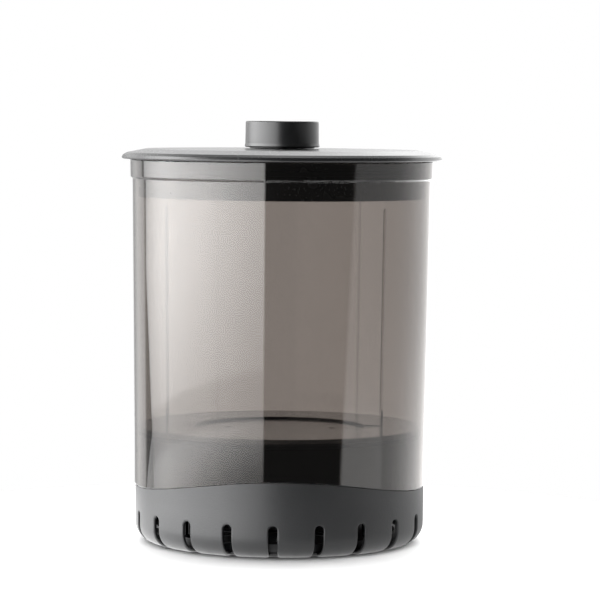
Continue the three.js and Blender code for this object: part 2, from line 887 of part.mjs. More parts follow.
function bottomCover(pillars) {
  const disc = turned(
    [
      [0, bottomLevel],
      [bottomRadius - 0.5, bottomLevel],
      [bottomRadius, bottomLevel + 0.5],
      [bottomRadius, bottomTop],
      [0, bottomTop],
    ],
    round,
  );
  const pillarTop = bottomTop + boardLift;
  const spots = pillars.map(([x, y]) => [x, y + boardMiddle]);
  const posts = spots.map(([x, y]) => placed(rod(pillarRadius, bottomTop - weld, pillarTop), x, y));
  const taps = spots.map(([x, y]) => placed(rod(screwRadius + slip, bottomTop + 1, pillarTop + 1), x, y));
  const screwSpots = coverScrewAngles.map((angle) => onCircle(coverScrewCircle, angle));
  const holes = screwSpots.map(([x, y]) => placed(rod(screwRadius + slip, bottomLevel - 1, bottomTop + 1), x, y));
  const grille = Array.from({ length: grilleCount }, (_, i) => {
    const bar = block(grilleWidth, grilleOuter - grilleInner, bottomLevel - 1, bottomTop + 1);
    bar.translate(0, (grilleInner + grilleOuter) / 2, 0);
    return bar.rotateZ(radians((360 / grilleCount) * i));
  });
  add("bottom_cover", cut(joined(disc, ...posts), ...taps, ...holes, ...grille), greyPlastic);
  screwSpots.forEach(([x, y], i) => {
    add(`cover_screw_${i + 1}`, screw(coverScrewLength), steel, x, y, bottomLevel - gap);
  });
  [45, 135, -135, -45].forEach((angle, i) => {
    const [x, y] = onCircle(coverScrewCircle - padStep, angle);
    add(`foot_pad_${i + 1}`, rod(padRadius, 0, bottomLevel - gap, slim), rubber, x, y);
  });
}

function powerInlet() {
  const face = bootRadius + gap;
  const outer = face + inletFlangeThickness;
  const middle = inletLevel + inletHeight / 2;
  const body = block(inletWidth, inletDepth, inletLevel, inletLevel + inletHeight);
  body.translate(0, face + weld - inletDepth / 2, 0);
  const flange = block(
    inletWidth + 2 * inletFlange,
    inletFlangeThickness,
    inletLevel - inletFlange,
    inletLevel + inletHeight + inletFlange,
  );
  flange.translate(0, face + inletFlangeThickness / 2, 0);
  const end = (socketWidth - socketHeight) / 2;
  const outline = new THREE.Shape()
    .absarc(end, 0, socketHeight / 2, -Math.PI / 2, Math.PI / 2, false)
    .absarc(-end, 0, socketHeight / 2, Math.PI / 2, (3 * Math.PI) / 2, false);
  const socket = radial(outline, outer - socketDepth, outer + 1, 180);
  socket.translate(0, 0, middle);
  const pinBack = face - inletDepth - 2;
  const pin = new THREE.CylinderGeometry(pinRadius, pinRadius, pinLength, tiny);
  const pinHole = new THREE.CylinderGeometry(pinRadius + slip, pinRadius + slip, pinLength, tiny);
  const spots = [-1, 1].map((side) => [(side * pinSpacing) / 2, pinBack + pinLength / 2, middle]);
  const holes = spots.map(([x, y, z]) => placed(closed(pinHole.clone()), x, y, z));
  add("power_inlet", cut(joined(body, flange), socket, ...holes), partBlack);
  spots.forEach(([x, y, z], i) => {
    add(`inlet_pin_${i + 1}`, closed(pin.clone()), brass, x, y, z);
  });
}

vessel();
lid();
knob();
floorPlug();
impellerCover();
heater();
drive();
motor();
bottomCover(board());
boot();
powerInlet();

export default circulator;
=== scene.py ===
"""Sous vide circulator: the finished look of the water vessel, its lid and its slotted drive base.

Run as a script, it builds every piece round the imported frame. Lengths inside the builders are in
millimetres, and each finished mesh is in metres.
"""

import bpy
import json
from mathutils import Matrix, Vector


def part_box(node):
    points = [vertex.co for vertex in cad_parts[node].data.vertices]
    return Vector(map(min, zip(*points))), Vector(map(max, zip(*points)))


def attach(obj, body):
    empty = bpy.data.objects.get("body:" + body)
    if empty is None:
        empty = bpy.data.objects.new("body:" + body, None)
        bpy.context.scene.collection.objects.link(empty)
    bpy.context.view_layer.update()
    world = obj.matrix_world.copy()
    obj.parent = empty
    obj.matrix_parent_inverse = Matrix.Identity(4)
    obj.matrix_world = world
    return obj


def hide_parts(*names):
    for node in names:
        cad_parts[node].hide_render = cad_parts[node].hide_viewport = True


bl_info = {
    "name": "Sous vide circulator",
    "version": (1, 0, 0),
    "blender": (4, 5, 0),
    "location": "3D View > Sidebar > Circulator",
    "description": "Builds a clear water vessel with a lift-off lid on a slotted drive base",
    "category": "Add Mesh",
}

import json
import math
from types import SimpleNamespace

import bmesh
import bpy
from bpy.props import FloatProperty, FloatVectorProperty, IntProperty, PointerProperty
from mathutils import Matrix, Vector

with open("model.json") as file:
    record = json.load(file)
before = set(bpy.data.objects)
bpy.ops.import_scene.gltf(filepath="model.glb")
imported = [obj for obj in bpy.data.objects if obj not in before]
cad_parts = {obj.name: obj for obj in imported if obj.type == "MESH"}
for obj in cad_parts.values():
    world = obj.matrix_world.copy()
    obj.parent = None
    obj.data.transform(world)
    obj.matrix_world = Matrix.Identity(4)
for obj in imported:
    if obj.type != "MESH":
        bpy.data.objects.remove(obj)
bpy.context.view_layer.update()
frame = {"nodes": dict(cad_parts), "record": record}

MM = 0.001


def mm_box(node):
    """Lowest and highest corner of a CAD node, in millimetres."""
    low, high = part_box(node)
    return Vector(low) / MM, Vector(high) / MM


def level(node, end):
    """Height of a CAD node's bottom (0) or top (1), in millimetres."""
    return mm_box(node)[end].z


def reach(node):
    """Radius of a turned CAD node about the upright axis, in millimetres."""
    return mm_box(node)[1].y


SLOTS = {part["node"]: part["material_slot"] for part in frame["record"]["subparts"]}
GAP = 0.3  # between pieces that touch
MERGE = 2e-3  # vertices nearer than this are one
FINE_SIDES = 224  # of the largest turned pieces
MOUTH_TOP = level("vessel", 1)
WAVE_LOW = level("vessel", 0) - GAP
WAVE_HIGH = level("base_boot", 1)
WAVE_REACH = math.radians(75)  # from each crest of the joint to where it turns level
FLOOR_TOP = level("floor_plug", 1)
LID_TOP = level("lid", 1)
SKIRT_FOOT = level("lid", 0)
FLANGE_UNDER = MOUTH_TOP + GAP
BOOT_STRAIGHT = 24.0  # the boot is plain and round below this height
WALL_STRAIGHT = FLOOR_TOP - 10  # the wall is plain and round above this one


# ------------------------------------------------------------------ sizes and colours to change


def length(name, default, description):
    """A length property whose default is given in millimetres."""
    return FloatProperty(
        name=name, description=description, default=default * MM, min=0, unit="LENGTH", precision=4
    )


def colour(name, default, description):
    """A colour property."""
    return FloatVectorProperty(
        name=name, description=description, default=default, min=0, max=1, size=3, subtype="COLOR"
    )


class WallSizes(bpy.types.PropertyGroup):
    mouth_radius: length("Mouth radius", 80.0, "Outside of the wall just under its collar")
    wall_top: length("Collar height", 194.2, "Height at which the collar starts")
    thickness: length("Thickness", 2.1, "Thickness of the clear wall")
    collar_step: length("Collar step", 1.1, "How far the collar stands out from the wall")
    rib_depth: length("Rib depth", 1.0, "How far the upright ribs stand in from the wall")
    rib_width: length("Rib width", 1.4, "Width of the upright ribs")
    draft: FloatProperty(
        name="Draft", description="Growth of the radius with height", default=0.013, min=0, max=0.1
    )
    smoke: colour("Smoke", (0.201, 0.122, 0.062), "Tint that the clear plastic leaves")
    smoke_density: FloatProperty(
        name="Smoke density", description="Absorption per metre of plastic", default=442, min=0
    )


class LidSizes(bpy.types.PropertyGroup):
    rim_radius: length("Rim radius", reach("lid"), "Outside of the lid's rounded rim")
    skirt_thickness: length("Skirt thickness", 2.2, "Thickness of the skirt inside the mouth")
    knob_radius: length("Knob radius", reach("lid_knob") - 0.5, "Radius of the knob at its top")
    lid_colour: colour("Lid colour", (0.014, 0.0145, 0.0155), "Colour of the lid's plastic")
    knob_colour: colour("Knob colour", (0.012, 0.0125, 0.0135), "Colour of the knob's plastic")


class BaseSizes(bpy.types.PropertyGroup):
    slot_count: IntProperty(
        name="Slots", description="Number of vent slots round the foot", default=20, min=4, max=40
    )
    slot_width: length("Slot width", 4.7, "Width of each vent slot")
    slot_top: length("Slot height", 17.5, "Height of each slot's rounded top")
    slot_turn: FloatProperty(
        name="Slot turn",
        description="Angle of the slot nearest the front",
        default=math.radians(-2.36),
        subtype="ANGLE",
    )
    corner: length("Corner radius", 10.5, "Radius of the boot's bottom edge")
    lip: length("Lip", 0.1, "How far the boot's wavy edge stands out")
    boot_colour: colour("Boot colour", (0.009, 0.0095, 0.0105), "Colour of the boot's plastic")


class StageLight(bpy.types.PropertyGroup):
    softbox: FloatProperty(
        name="Softbox", description="Brightness of the large softbox on the left", default=1.0, min=0
    )
    fill: FloatProperty(
        name="Fill", description="Brightness of the fill on the right", default=1.0, min=0
    )
    backdrop: FloatProperty(
        name="Backdrop", description="Brightness of the white backdrop", default=1.0, min=0
    )
    overhead: FloatProperty(
        name="Overhead", description="Brightness of the light above and behind", default=6.0, min=0
    )


GROUPS = {
    "circulator_wall": WallSizes,
    "circulator_lid": LidSizes,
    "circulator_base": BaseSizes,
    "circulator_light": StageLight,
}


def in_mm(group):
    """The lengths of a property group, in millimetres."""
    lengths = [p.identifier for p in group.bl_rna.properties if getattr(p, "unit", "") == "LENGTH"]
    return SimpleNamespace(**{name: getattr(group, name) / MM for name in lengths})


# ------------------------------------------------------------------ shapes


def wall_radius(wall, height):
    """Outside of the clear wall at a height."""
    return wall.mouth_radius / MM - wall.draft * (wall.wall_top / MM - height)


def bore_radius(wall, height):
    """Inside of the clear wall at a height."""
    return wall_radius(wall, height) - wall.thickness / MM


def wave(angle):
    """Height of the joint between the wall and the boot, at an angle from the front."""
    turn = abs(math.remainder(angle, 2 * math.pi))
    from_crest = min(turn, math.pi - turn)
    share = min(from_crest / WAVE_REACH, 1)
    return WAVE_LOW + (WAVE_HIGH - WAVE_LOW) * (1 + math.cos(math.pi * share)) / 2


def on_wave(angle, height, fixed, lift):
    """A height moved with the joint. Heights on the far side of the fixed level stay."""
    crest = WAVE_HIGH + lift
    if (height - fixed) * (crest - fixed) <= 0:
        return height
    return fixed + (height - fixed) * (wave(angle) + lift - fixed) / (crest - fixed)


def smooth(low, high, value):
    """0 at low, 1 at high and smooth in between."""
    share = min(max((value - low) / (high - low), 0), 1)
    return share * share * (3 - 2 * share)


def evenly(start, stop, count):
    """Evenly spaced values, both ends included."""
    return [start + (stop - start) * i / (count - 1) for i in range(count)]


def rounded(corners, steps=6, closed=True):
    """An outline from corners (x, y) or (x, y, fillet radius), with each fillet as an arc."""
    points = []
    for i, corner in enumerate(corners):
        here = Vector(corner[:2])
        radius = corner[2] if len(corner) > 2 else 0
        ends = not closed and i in (0, len(corners) - 1)
        if not radius or ends:
            points.append(tuple(here))
            continue
        before = (Vector(corners[i - 1][:2]) - here).normalized()
        after = (Vector(corners[(i + 1) % len(corners)][:2]) - here).normalized()
        half = before.angle(after) / 2
        centre = here + (before + after).normalized() * radius / math.sin(half)
        start = here + before * radius / math.tan(half) - centre
        sweep = start.angle_signed(here + after * radius / math.tan(half) - centre)
        for k in range(steps + 1):
            angle = -sweep * k / steps
            turned = Matrix.Rotation(angle, 2) @ start
            points.append(tuple(centre + turned))
    return points


def at(radius, angle, height):
    """A point on the circle about the upright axis. Angle 0 is the front, and turns towards +X."""
    return Vector((radius * math.sin(angle), -radius * math.cos(angle), height))


def stitch(bm, first, second, closed=True):
    """Faces between two rows of vertices of the same length."""
    count = len(first)
    for i in range(count if closed else count - 1):
        k = (i + 1) % count
        face = [first[i], first[k], second[k], second[i]]
        corners = list(dict.fromkeys(face))
        if len(corners) > 2:
            bm.faces.new(corners)


def lathe(bm, outline, sides=160, shape=None, angles=None):
    """Adds a solid turned about the upright axis from a closed half section, or one that ends on the axis."""
    angles = angles or [2 * math.pi * i / sides for i in range(sides)]
    open_ends = outline[0][0] == 0 and outline[-1][0] == 0
    poles = {}
    columns = []
    for angle in angles:
        column = []
        for row, (radius, height) in enumerate(outline):
            if radius == 0:
                if row not in poles:
                    poles[row] = bm.verts.new((0, 0, height))
                column.append(poles[row])
                continue
            if shape:
                radius, height = shape(angle, radius, height)
            column.append(bm.verts.new(at(radius, angle, height)))
        columns.append(column)
    for i, column in enumerate(columns):
        stitch(bm, column, columns[(i + 1) % len(columns)], closed=not open_ends)
    return [v for column in columns for v in column]


def turned(outline, **options):
    """A solid turned about the upright axis, on its own."""
    bm = bmesh.new()
    lathe(bm, outline, **options)
    return bm


def moved(bm, vertices, matrix):
    """Moves some vertices."""
    bmesh.ops.transform(bm, matrix=matrix, verts=list(dict.fromkeys(vertices)))


def slab(bm, outline, bottom, top, edge=0.3):
    """Adds an upright solid over a flat outline, with rounded top and bottom edges."""
    profile = rounded([(1, bottom), (0, bottom, edge), (0, top, edge), (1, top)], 4, closed=False)
    rows = []
    for inset, height in profile[1:-1]:
        row = []
        for i, point in enumerate(outline):
            here = Vector(point)
            ahead = (Vector(outline[(i + 1) % len(outline)]) - here).normalized()
            behind = (here - Vector(outline[i - 1])).normalized()
            inward = Vector((-(ahead.y + behind.y), ahead.x + behind.x)).normalized()
            shift = inset / max(inward.dot(Vector((-behind.y, behind.x))), 0.5)
            row.append(bm.verts.new((*(here + inward * abs(shift)), height)))
        rows.append(row)
    for low, high in zip(rows, rows[1:]):
        stitch(bm, low, high)
    bm.faces.new(rows[0])
    bm.faces.new(rows[-1])


def rectangle(width, depth, fillet, steps=4):
    """A flat outline with rounded corners."""
    x, y = width / 2, depth / 2
    return rounded([(x, -y, fillet), (x, y, fillet), (-x, y, fillet), (-x, -y, fillet)], steps)


def mesh_object(bm, name):
    """Turns a bmesh in millimetres into an object in metres, with its faces pointing out."""
    bmesh.ops.remove_doubles(bm, verts=bm.verts, dist=1e-4)
    bmesh.ops.dissolve_degenerate(bm, dist=1e-5, edges=bm.edges)
    bmesh.ops.recalc_face_normals(bm, faces=bm.faces)
    bmesh.ops.scale(bm, vec=Vector((MM, MM, MM)), verts=bm.verts)
    mesh = bpy.data.meshes.new(name)
    bm.to_mesh(mesh)
    bm.free()
    obj = bpy.data.objects.new(name, mesh)
    bpy.context.scene.collection.objects.link(obj)
    return obj


def evaluated(obj):
    """Applies an object's modifiers: it becomes a plain mesh."""
    graph = bpy.context.evaluated_depsgraph_get()
    graph.update()
    mesh = bpy.data.meshes.new_from_object(obj.evaluated_get(graph), depsgraph=graph)
    obj.modifiers.clear()
    old = obj.data
    obj.data = mesh
    bpy.data.meshes.remove(old)
    return obj


def in_millimetres(*meshes):
    """A bmesh in millimetres from meshes in metres."""
    bm = bmesh.new()
    for mesh in meshes:
        bm.from_mesh(mesh)
    bmesh.ops.scale(bm, vec=Vector((1 / MM,) * 3), verts=bm.verts)
    return bm


def merged(objects, name):
    """Joins objects into one and merges the vertices that meet."""
    bm = in_millimetres(*(obj.data for obj in objects))
    for obj in objects:
        bpy.data.objects.remove(obj)
    bmesh.ops.remove_doubles(bm, verts=bm.verts, dist=MERGE)
    return mesh_object(bm, name)


def combined(obj, tool, operation):
    """Cuts a closed tool out of an object (DIFFERENCE) or joins it on (UNION), and removes the tool."""
    change = obj.modifiers.new("Combined", "BOOLEAN")
    change.operation = operation
    change.solver = "EXACT"
    change.object = tool
    evaluated(obj)
    bpy.data.objects.remove(tool)


def soften(obj, width, angle=35, steps=3):
    """Rounds the sharp edges of an object."""
    change = obj.modifiers.new("Soften", "BEVEL")
    change.width = width * MM
    change.segments = steps
    change.limit_method = "ANGLE"
    change.angle_limit = math.radians(angle)
    change.miter_outer = "MITER_ARC"
    return evaluated(obj)


def finished(obj, body, material, nodes, angle=40):
    """Gives a piece its shading and material, and hands it to the frame."""
    obj.data.materials.clear()
    obj.data.materials.append(material)
    obj.data.polygons.foreach_set("use_smooth", [True] * len(obj.data.polygons))
    obj.data.set_sharp_from_angle(angle=math.radians(angle))
    even = obj.modifiers.new("Even normals", "WEIGHTED_NORMAL")
    even.keep_sharp = True
    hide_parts(*nodes)
    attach(obj, body)
    return obj


# ------------------------------------------------------------------ geometry node trees


def radial_copies():
    """A tree that repeats a mesh about the upright axis, with its count, turn and material as inputs."""
    tree = bpy.data.node_groups.new("Radial copies", "GeometryNodeTree")
    inputs = {"Mesh": "Geometry", "Count": "Int", "Turn": "Float", "Material": "Material"}
    for name, kind in inputs.items():
        tree.interface.new_socket(name, in_out="INPUT", socket_type=f"NodeSocket{kind}")
    tree.interface.new_socket("Mesh", in_out="OUTPUT", socket_type="NodeSocketGeometry")
    nodes = Nodes(tree)
    given = nodes.node("NodeGroupInput").outputs
    index = nodes.value("GeometryNodeInputIndex", 0)
    step = index.math("DIVIDE", 2 * math.pi, given["Count"])
    angle = index.math("MULTIPLY_ADD", index, step, given["Turn"])
    turn = nodes.node("ShaderNodeCombineXYZ", None, {"Z": angle}).outputs[0]
    line = {"Count": given["Count"], "Offset": (0, 0, 0)}
    points = nodes.node("GeometryNodeMeshLine", {"mode": "OFFSET"}, line).outputs["Mesh"]
    copies = {"Points": points, "Instance": given["Mesh"], "Rotation": turn}
    placed = nodes.node("GeometryNodeInstanceOnPoints", None, copies).outputs[0]
    real = nodes.node("GeometryNodeRealizeInstances", None, {0: placed}).outputs[0]
    painted = nodes.node("GeometryNodeSetMaterial", None, {"Geometry": real, "Material": given["Material"]})
    nodes.node("NodeGroupOutput", None, {0: painted.outputs[0]})
    return tree


def copied_round(obj, count, turn=0.0, material=None):
    """Repeats an object's mesh about the upright axis with the Radial copies tree."""
    tree = bpy.data.node_groups.get("Radial copies") or radial_copies()
    change = obj.modifiers.new("Copies", "NODES")
    change.node_group = tree
    sockets = {s.name: s.identifier for s in tree.interface.items_tree if s.in_out == "INPUT"}
    change[sockets["Count"]] = count
    change[sockets["Turn"]] = turn
    change[sockets["Material"]] = material
    return evaluated(obj)


# ------------------------------------------------------------------ shader maths


class Value:
    """A number on a shader socket. Arithmetic on it adds Math nodes."""

    def __init__(self, nodes, socket):
        self.nodes = nodes
        self.socket = socket

    def math(self, operation, *terms):
        made = self.nodes.node("ShaderNodeMath", {"operation": operation}, dict(enumerate(terms)))
        return Value(self.nodes, made.outputs[0])

    def __add__(self, other):
        return self.math("ADD", self, other)

    def __sub__(self, other):
        return self.math("SUBTRACT", self, other)

    def __rsub__(self, other):
        return self.math("SUBTRACT", other, self)

    def __mul__(self, other):
        return self.math("MULTIPLY", self, other)

    def __truediv__(self, other):
        return self.math("DIVIDE", self, other)

    def __gt__(self, other):
        return self.math("GREATER_THAN", self, other)

    __radd__ = __add__
    __rmul__ = __mul__

    def between(self, low, high):
        """0 below low, 1 above high and smooth in between."""
        made = self.nodes.node(
            "ShaderNodeMapRange",
            {"interpolation_type": "SMOOTHSTEP"},
            {"Value": self, "From Min": low, "From Max": high},
        )
        return Value(self.nodes, made.outputs["Result"])


class Nodes:
    """Builds the nodes of one material or world."""

    def __init__(self, tree):
        self.tree = tree
        tree.nodes.clear()

    def node(self, kind, settings=None, inputs=None):
        made = self.tree.nodes.new(kind)
        for name, value in (settings or {}).items():
            if name == "stops":
                ramp = made.color_ramp.elements
                while len(ramp) < len(value):
                    ramp.new(0.5)
                for stop, (place, shade) in zip(ramp, value):
                    stop.position = place
                    stop.color = (*shade, 1)
            else:
                setattr(made, name, value)
        for name, value in (inputs or {}).items():
            socket = made.inputs[name]
            if isinstance(value, Value):
                self.tree.links.new(value.socket, socket)
            elif isinstance(value, bpy.types.NodeSocket):
                self.tree.links.new(value, socket)
            else:
                socket.default_value = value
        return made

    def value(self, kind, output, settings=None, inputs=None):
        return Value(self, self.node(kind, settings, inputs).outputs[output])

    def place(self):
        return self.node("ShaderNodeTexCoord").outputs["Object"]

    def noise(self, scale, detail=2.0, roughness=0.5, vector=None):
        inputs = {
            "Vector": vector or self.place(),
            "Scale": scale,
            "Detail": detail,
            "Roughness": roughness,
        }
        return self.value("ShaderNodeTexNoise", 0, None, inputs)

    def stretched(self, x, y, z):
        """Object coordinates scaled along each axis."""
        inputs = {"Vector": self.place(), "Scale": (x, y, z)}
        return self.node("ShaderNodeMapping", None, inputs).outputs[0]

    def mixed(self, factor, first, second):
        """A colour between two colours."""
        settings = {"data_type": "RGBA"}
        made = self.node("ShaderNodeMix", settings, {"Factor": factor, 6: first, 7: second})
        return made.outputs[2]

    def bump(self, height, strength, distance):
        inputs = {"Height": height, "Strength": strength, "Distance": distance}
        return self.node("ShaderNodeBump", None, inputs).outputs[0]


def shades(colour_value, spread):
    """A darker and a lighter shade of a colour, as RGBA."""
    low = [c * (1 - spread) for c in colour_value]
    high = [min(c * (1 + spread), 1) for c in colour_value]
    return (*low, 1), (*high, 1)


def surface(name):
    """A new material with its surface shader and output."""
    material = bpy.data.materials.new(name)
    material.use_nodes = True
    nodes = Nodes(material.node_tree)
    bsdf = nodes.node("ShaderNodeBsdfPrincipled")
    out = nodes.node("ShaderNodeOutputMaterial")
    nodes.tree.links.new(bsdf.outputs[0], out.inputs["Surface"])
    return material, nodes, bsdf, out


def feed(nodes, bsdf, **sockets):
    """Sets or links sockets of the surface shader. An underscore in a name stands for a space."""
    for name, value in sockets.items():
        socket = bsdf.inputs[name.replace("_", " ")]
        if isinstance(value, Value):
            value = value.socket
        if isinstance(value, bpy.types.NodeSocket):
            nodes.tree.links.new(value, socket)
        else:
            socket.default_value = value


def moulded(name, tint, roughness, grain, depth, spread=0.08, coat=0.0, ior=1.5):
    """Moulded plastic: fine grain, slow flow marks, patches of handling shine."""
    material, nodes, bsdf, _ = surface(name)
    fine = nodes.noise(1 / (grain * MM), 3.0, 0.6)
    flow = nodes.noise(18.0, 3.0, 0.55)
    dust = nodes.noise(700.0, 2.0, 0.5).between(0.62, 0.75)
    low, high = shades(tint, spread)
    feed(
        nodes,
        bsdf,
        Base_Color=nodes.mixed(flow * 0.6 + fine * 0.4, low, high),
        Roughness=roughness + (flow - 0.5) * 0.10 + dust * 0.06,
        Normal=nodes.bump(fine, 1.0, depth * MM),
        IOR=ior,
        Coat_Weight=coat,
        Coat_Roughness=0.08,
    )
    return material


def smoked(name, wall):
    """Clear plastic that darkens with the length of the way through it."""
    material, nodes, bsdf, out = surface(name)
    wavy = nodes.noise(1.0, 2.0, 0.5, nodes.stretched(60, 60, 12))
    feed(
        nodes,
        bsdf,
        Base_Color=(1, 1, 1, 1),
        Roughness=0.0,
        Transmission_Weight=1.0,
        IOR=1.49,
        Normal=nodes.bump(wavy, 1.0, 0.004 * MM),
    )
    inside = nodes.node(
        "ShaderNodeVolumeAbsorption", None, {"Color": (*wall.smoke, 1), "Density": wall.smoke_density}
    )
    nodes.tree.links.new(inside.outputs[0], out.inputs["Volume"])
    return material


def metal(name, tint, roughness, brushed=True):
    """Turned or pressed metal with fine tool marks round the axis."""
    material, nodes, bsdf, _ = surface(name)
    marks = nodes.noise(1.0, 3.0, 0.6, nodes.stretched(900, 900, 9000) if brushed else None)
    stain = nodes.noise(60.0, 3.0, 0.6)
    low, high = shades(tint, 0.12)
    feed(
        nodes,
        bsdf,
        Base_Color=nodes.mixed(stain, low, high),
        Metallic=1.0,
        Roughness=roughness + (marks - 0.5) * 0.18 + (stain - 0.5) * 0.1,
        Normal=nodes.bump(marks, 0.6, 0.01 * MM),
    )
    return material


def rubbery(name, tint):
    """Silicone rubber: matt, a little dusty."""
    material, nodes, bsdf, _ = surface(name)
    fine = nodes.noise(2500.0, 2.0, 0.6)
    dust = nodes.noise(120.0, 4.0, 0.6).between(0.5, 0.8)
    low, high = shades(tint, 0.2)
    feed(
        nodes,
        bsdf,
        Base_Color=nodes.mixed(dust, low, high),
        Roughness=0.72 + dust * 0.15,
        Normal=nodes.bump(fine, 0.8, 0.02 * MM),
        IOR=1.42,
    )
    return material


def board_face(name):
    """Circuit board: solder mask over faint copper tracks."""
    material, nodes, bsdf, _ = surface(name)
    weave = nodes.noise(1.0, 1.0, 0.5, nodes.stretched(1500, 300, 1500))
    cells = nodes.value(
        "ShaderNodeTexBrick",
        "Fac",
        {"offset": 0.5},
        {"Vector": nodes.place(), "Scale": 160.0, "Mortar Size": 0.04},
    )
    mask = nodes.mixed(cells, (0.012, 0.060, 0.030, 1), (0.030, 0.120, 0.060, 1))
    feed(
        nodes,
        bsdf,
        Base_Color=mask,
        Roughness=0.35 + weave * 0.15,
        Normal=nodes.bump(cells, 0.5, 0.03 * MM),
    )
    return material


FINISHES = {}


def finish_of(slot):
    """The material of one of the record's slots, made once."""
    if slot in FINISHES:
        return FINISHES[slot]
    scene = bpy.context.scene
    lid, base, wall = scene.circulator_lid, scene.circulator_base, scene.circulator_wall
    makers = {
        "smoke_clear": lambda n: smoked(n, wall),
        "lid_grey": lambda n: moulded(n, lid.lid_colour, 0.26, 0.6, 0.008),
        "knob_grey": lambda n: moulded(n, lid.knob_colour, 0.32, 0.6, 0.010),
        "gloss_black": lambda n: moulded(n, (0.004, 0.004, 0.0045), 0.06, 0.8, 0.001),
        "boot_matt": lambda n: moulded(n, base.boot_colour, 0.42, 1.1, 0.060, 0.45),
        "rubber": lambda n: rubbery(n, (0.008, 0.008, 0.008)),
        "cover_grey": lambda n: moulded(n, (0.075, 0.068, 0.060), 0.14, 0.6, 0.003),
        "steel": lambda n: metal(n, (0.60, 0.61, 0.62), 0.28),
        "aluminium": lambda n: metal(n, (0.72, 0.73, 0.74), 0.36),
        "brass": lambda n: metal(n, (0.62, 0.42, 0.17), 0.30),
        "grey_plastic": lambda n: moulded(n, (0.012, 0.012, 0.013), 0.6, 0.5, 0.03),
        "can_black": lambda n: moulded(n, (0.010, 0.010, 0.011), 0.55, 0.3, 0.01),
        "board_green": board_face,
        "part_black": lambda n: moulded(n, (0.012, 0.012, 0.013), 0.38, 0.4, 0.02),
        "white_plastic": lambda n: moulded(n, (0.68, 0.67, 0.63), 0.45, 0.5, 0.01),
    }
    FINISHES[slot] = makers[slot](slot)
    return FINISHES[slot]


# ------------------------------------------------------------------ vessel

RIB_ANGLES = [math.radians(a) for a in (43.0, 145.4, -152.4, -49.5)]
REAR_RIB_SHARE = 0.45  # of the front ribs' depth


def build_vessel(context):
    """Clear wall: collar at the mouth, upright ribs inside, and a wavy foot that meets the boot."""
    wall = context.scene.circulator_wall
    size = in_mm(wall)
    rib_top = FLANGE_UNDER - 24
    rib_foot = FLOOR_TOP + GAP
    side = 0.35  # of a rib's rounded edge
    half = size.rib_width / 2
    offsets = [-half - side, -half, -half + side, 0, half - side, half, half + side]
    inside = bore_radius(wall, FLOOR_TOP)

    def from_rib(angle):
        return min(abs(math.remainder(angle - rib, 2 * math.pi)) for rib in RIB_ANGLES) * inside

    angles = [2 * math.pi * i / FINE_SIDES for i in range(FINE_SIDES)]
    angles = [a for a in angles if from_rib(a) > half + 3 * side]
    angles += [(rib + offset / inside) % (2 * math.pi) for rib in RIB_ANGLES for offset in offsets]
    angles.sort()

    def shape(angle, radius, height):
        if rib_foot - 0.5 < height < rib_top and radius < wall_radius(wall, height) - 1:
            end = min((rib_top - height) / 1.5, 1)
            share = smooth(half + side, half - side, from_rib(angle))
            depth = size.rib_depth * (1 if math.cos(angle) > 0 else REAR_RIB_SHARE)
            radius -= depth * share * math.sqrt(max(end * (2 - end), 0))  # the rib's top is round
        return radius, on_wave(angle, height, WALL_STRAIGHT, GAP)

    foot = WAVE_HIGH + GAP
    collar = size.mouth_radius + size.collar_step
    bore = [(bore_radius(wall, h), h) for h in (rib_top, rib_top - 0.3, rib_top - 0.8, rib_top - 1.5)]
    outline = rounded(
        [
            (bore_radius(wall, foot), foot, 0.3),
            (wall_radius(wall, foot), foot, 0.2),
            (wall_radius(wall, WALL_STRAIGHT), WALL_STRAIGHT),
            (size.mouth_radius, size.wall_top, 0.3),
            (collar, size.wall_top + 0.9, 0.8),
            (collar + 0.2, MOUTH_TOP, 0.2),
            (bore_radius(wall, MOUTH_TOP), MOUTH_TOP, 0.8),
            *bore,
            (bore_radius(wall, 120), 120),
            (bore_radius(wall, rib_foot), rib_foot),
            (bore_radius(wall, rib_foot - 0.6), rib_foot - 0.6),
            (bore_radius(wall, WALL_STRAIGHT), WALL_STRAIGHT),
        ]
    )
    obj = mesh_object(turned(outline, shape=shape, angles=angles), "vessel_wall")
    finished(obj, "base", finish_of("smoke_clear"), ["vessel"])


# ------------------------------------------------------------------ lid and knob


def soft_ring(bm, inner, outer, bottom, top, fillet, sides=160):
    """Adds a ring with rounded edges."""
    corners = [(inner, bottom), (outer, bottom), (outer, top), (inner, top)]
    return lathe(bm, rounded([(*c, fillet) for c in corners], 4), sides)


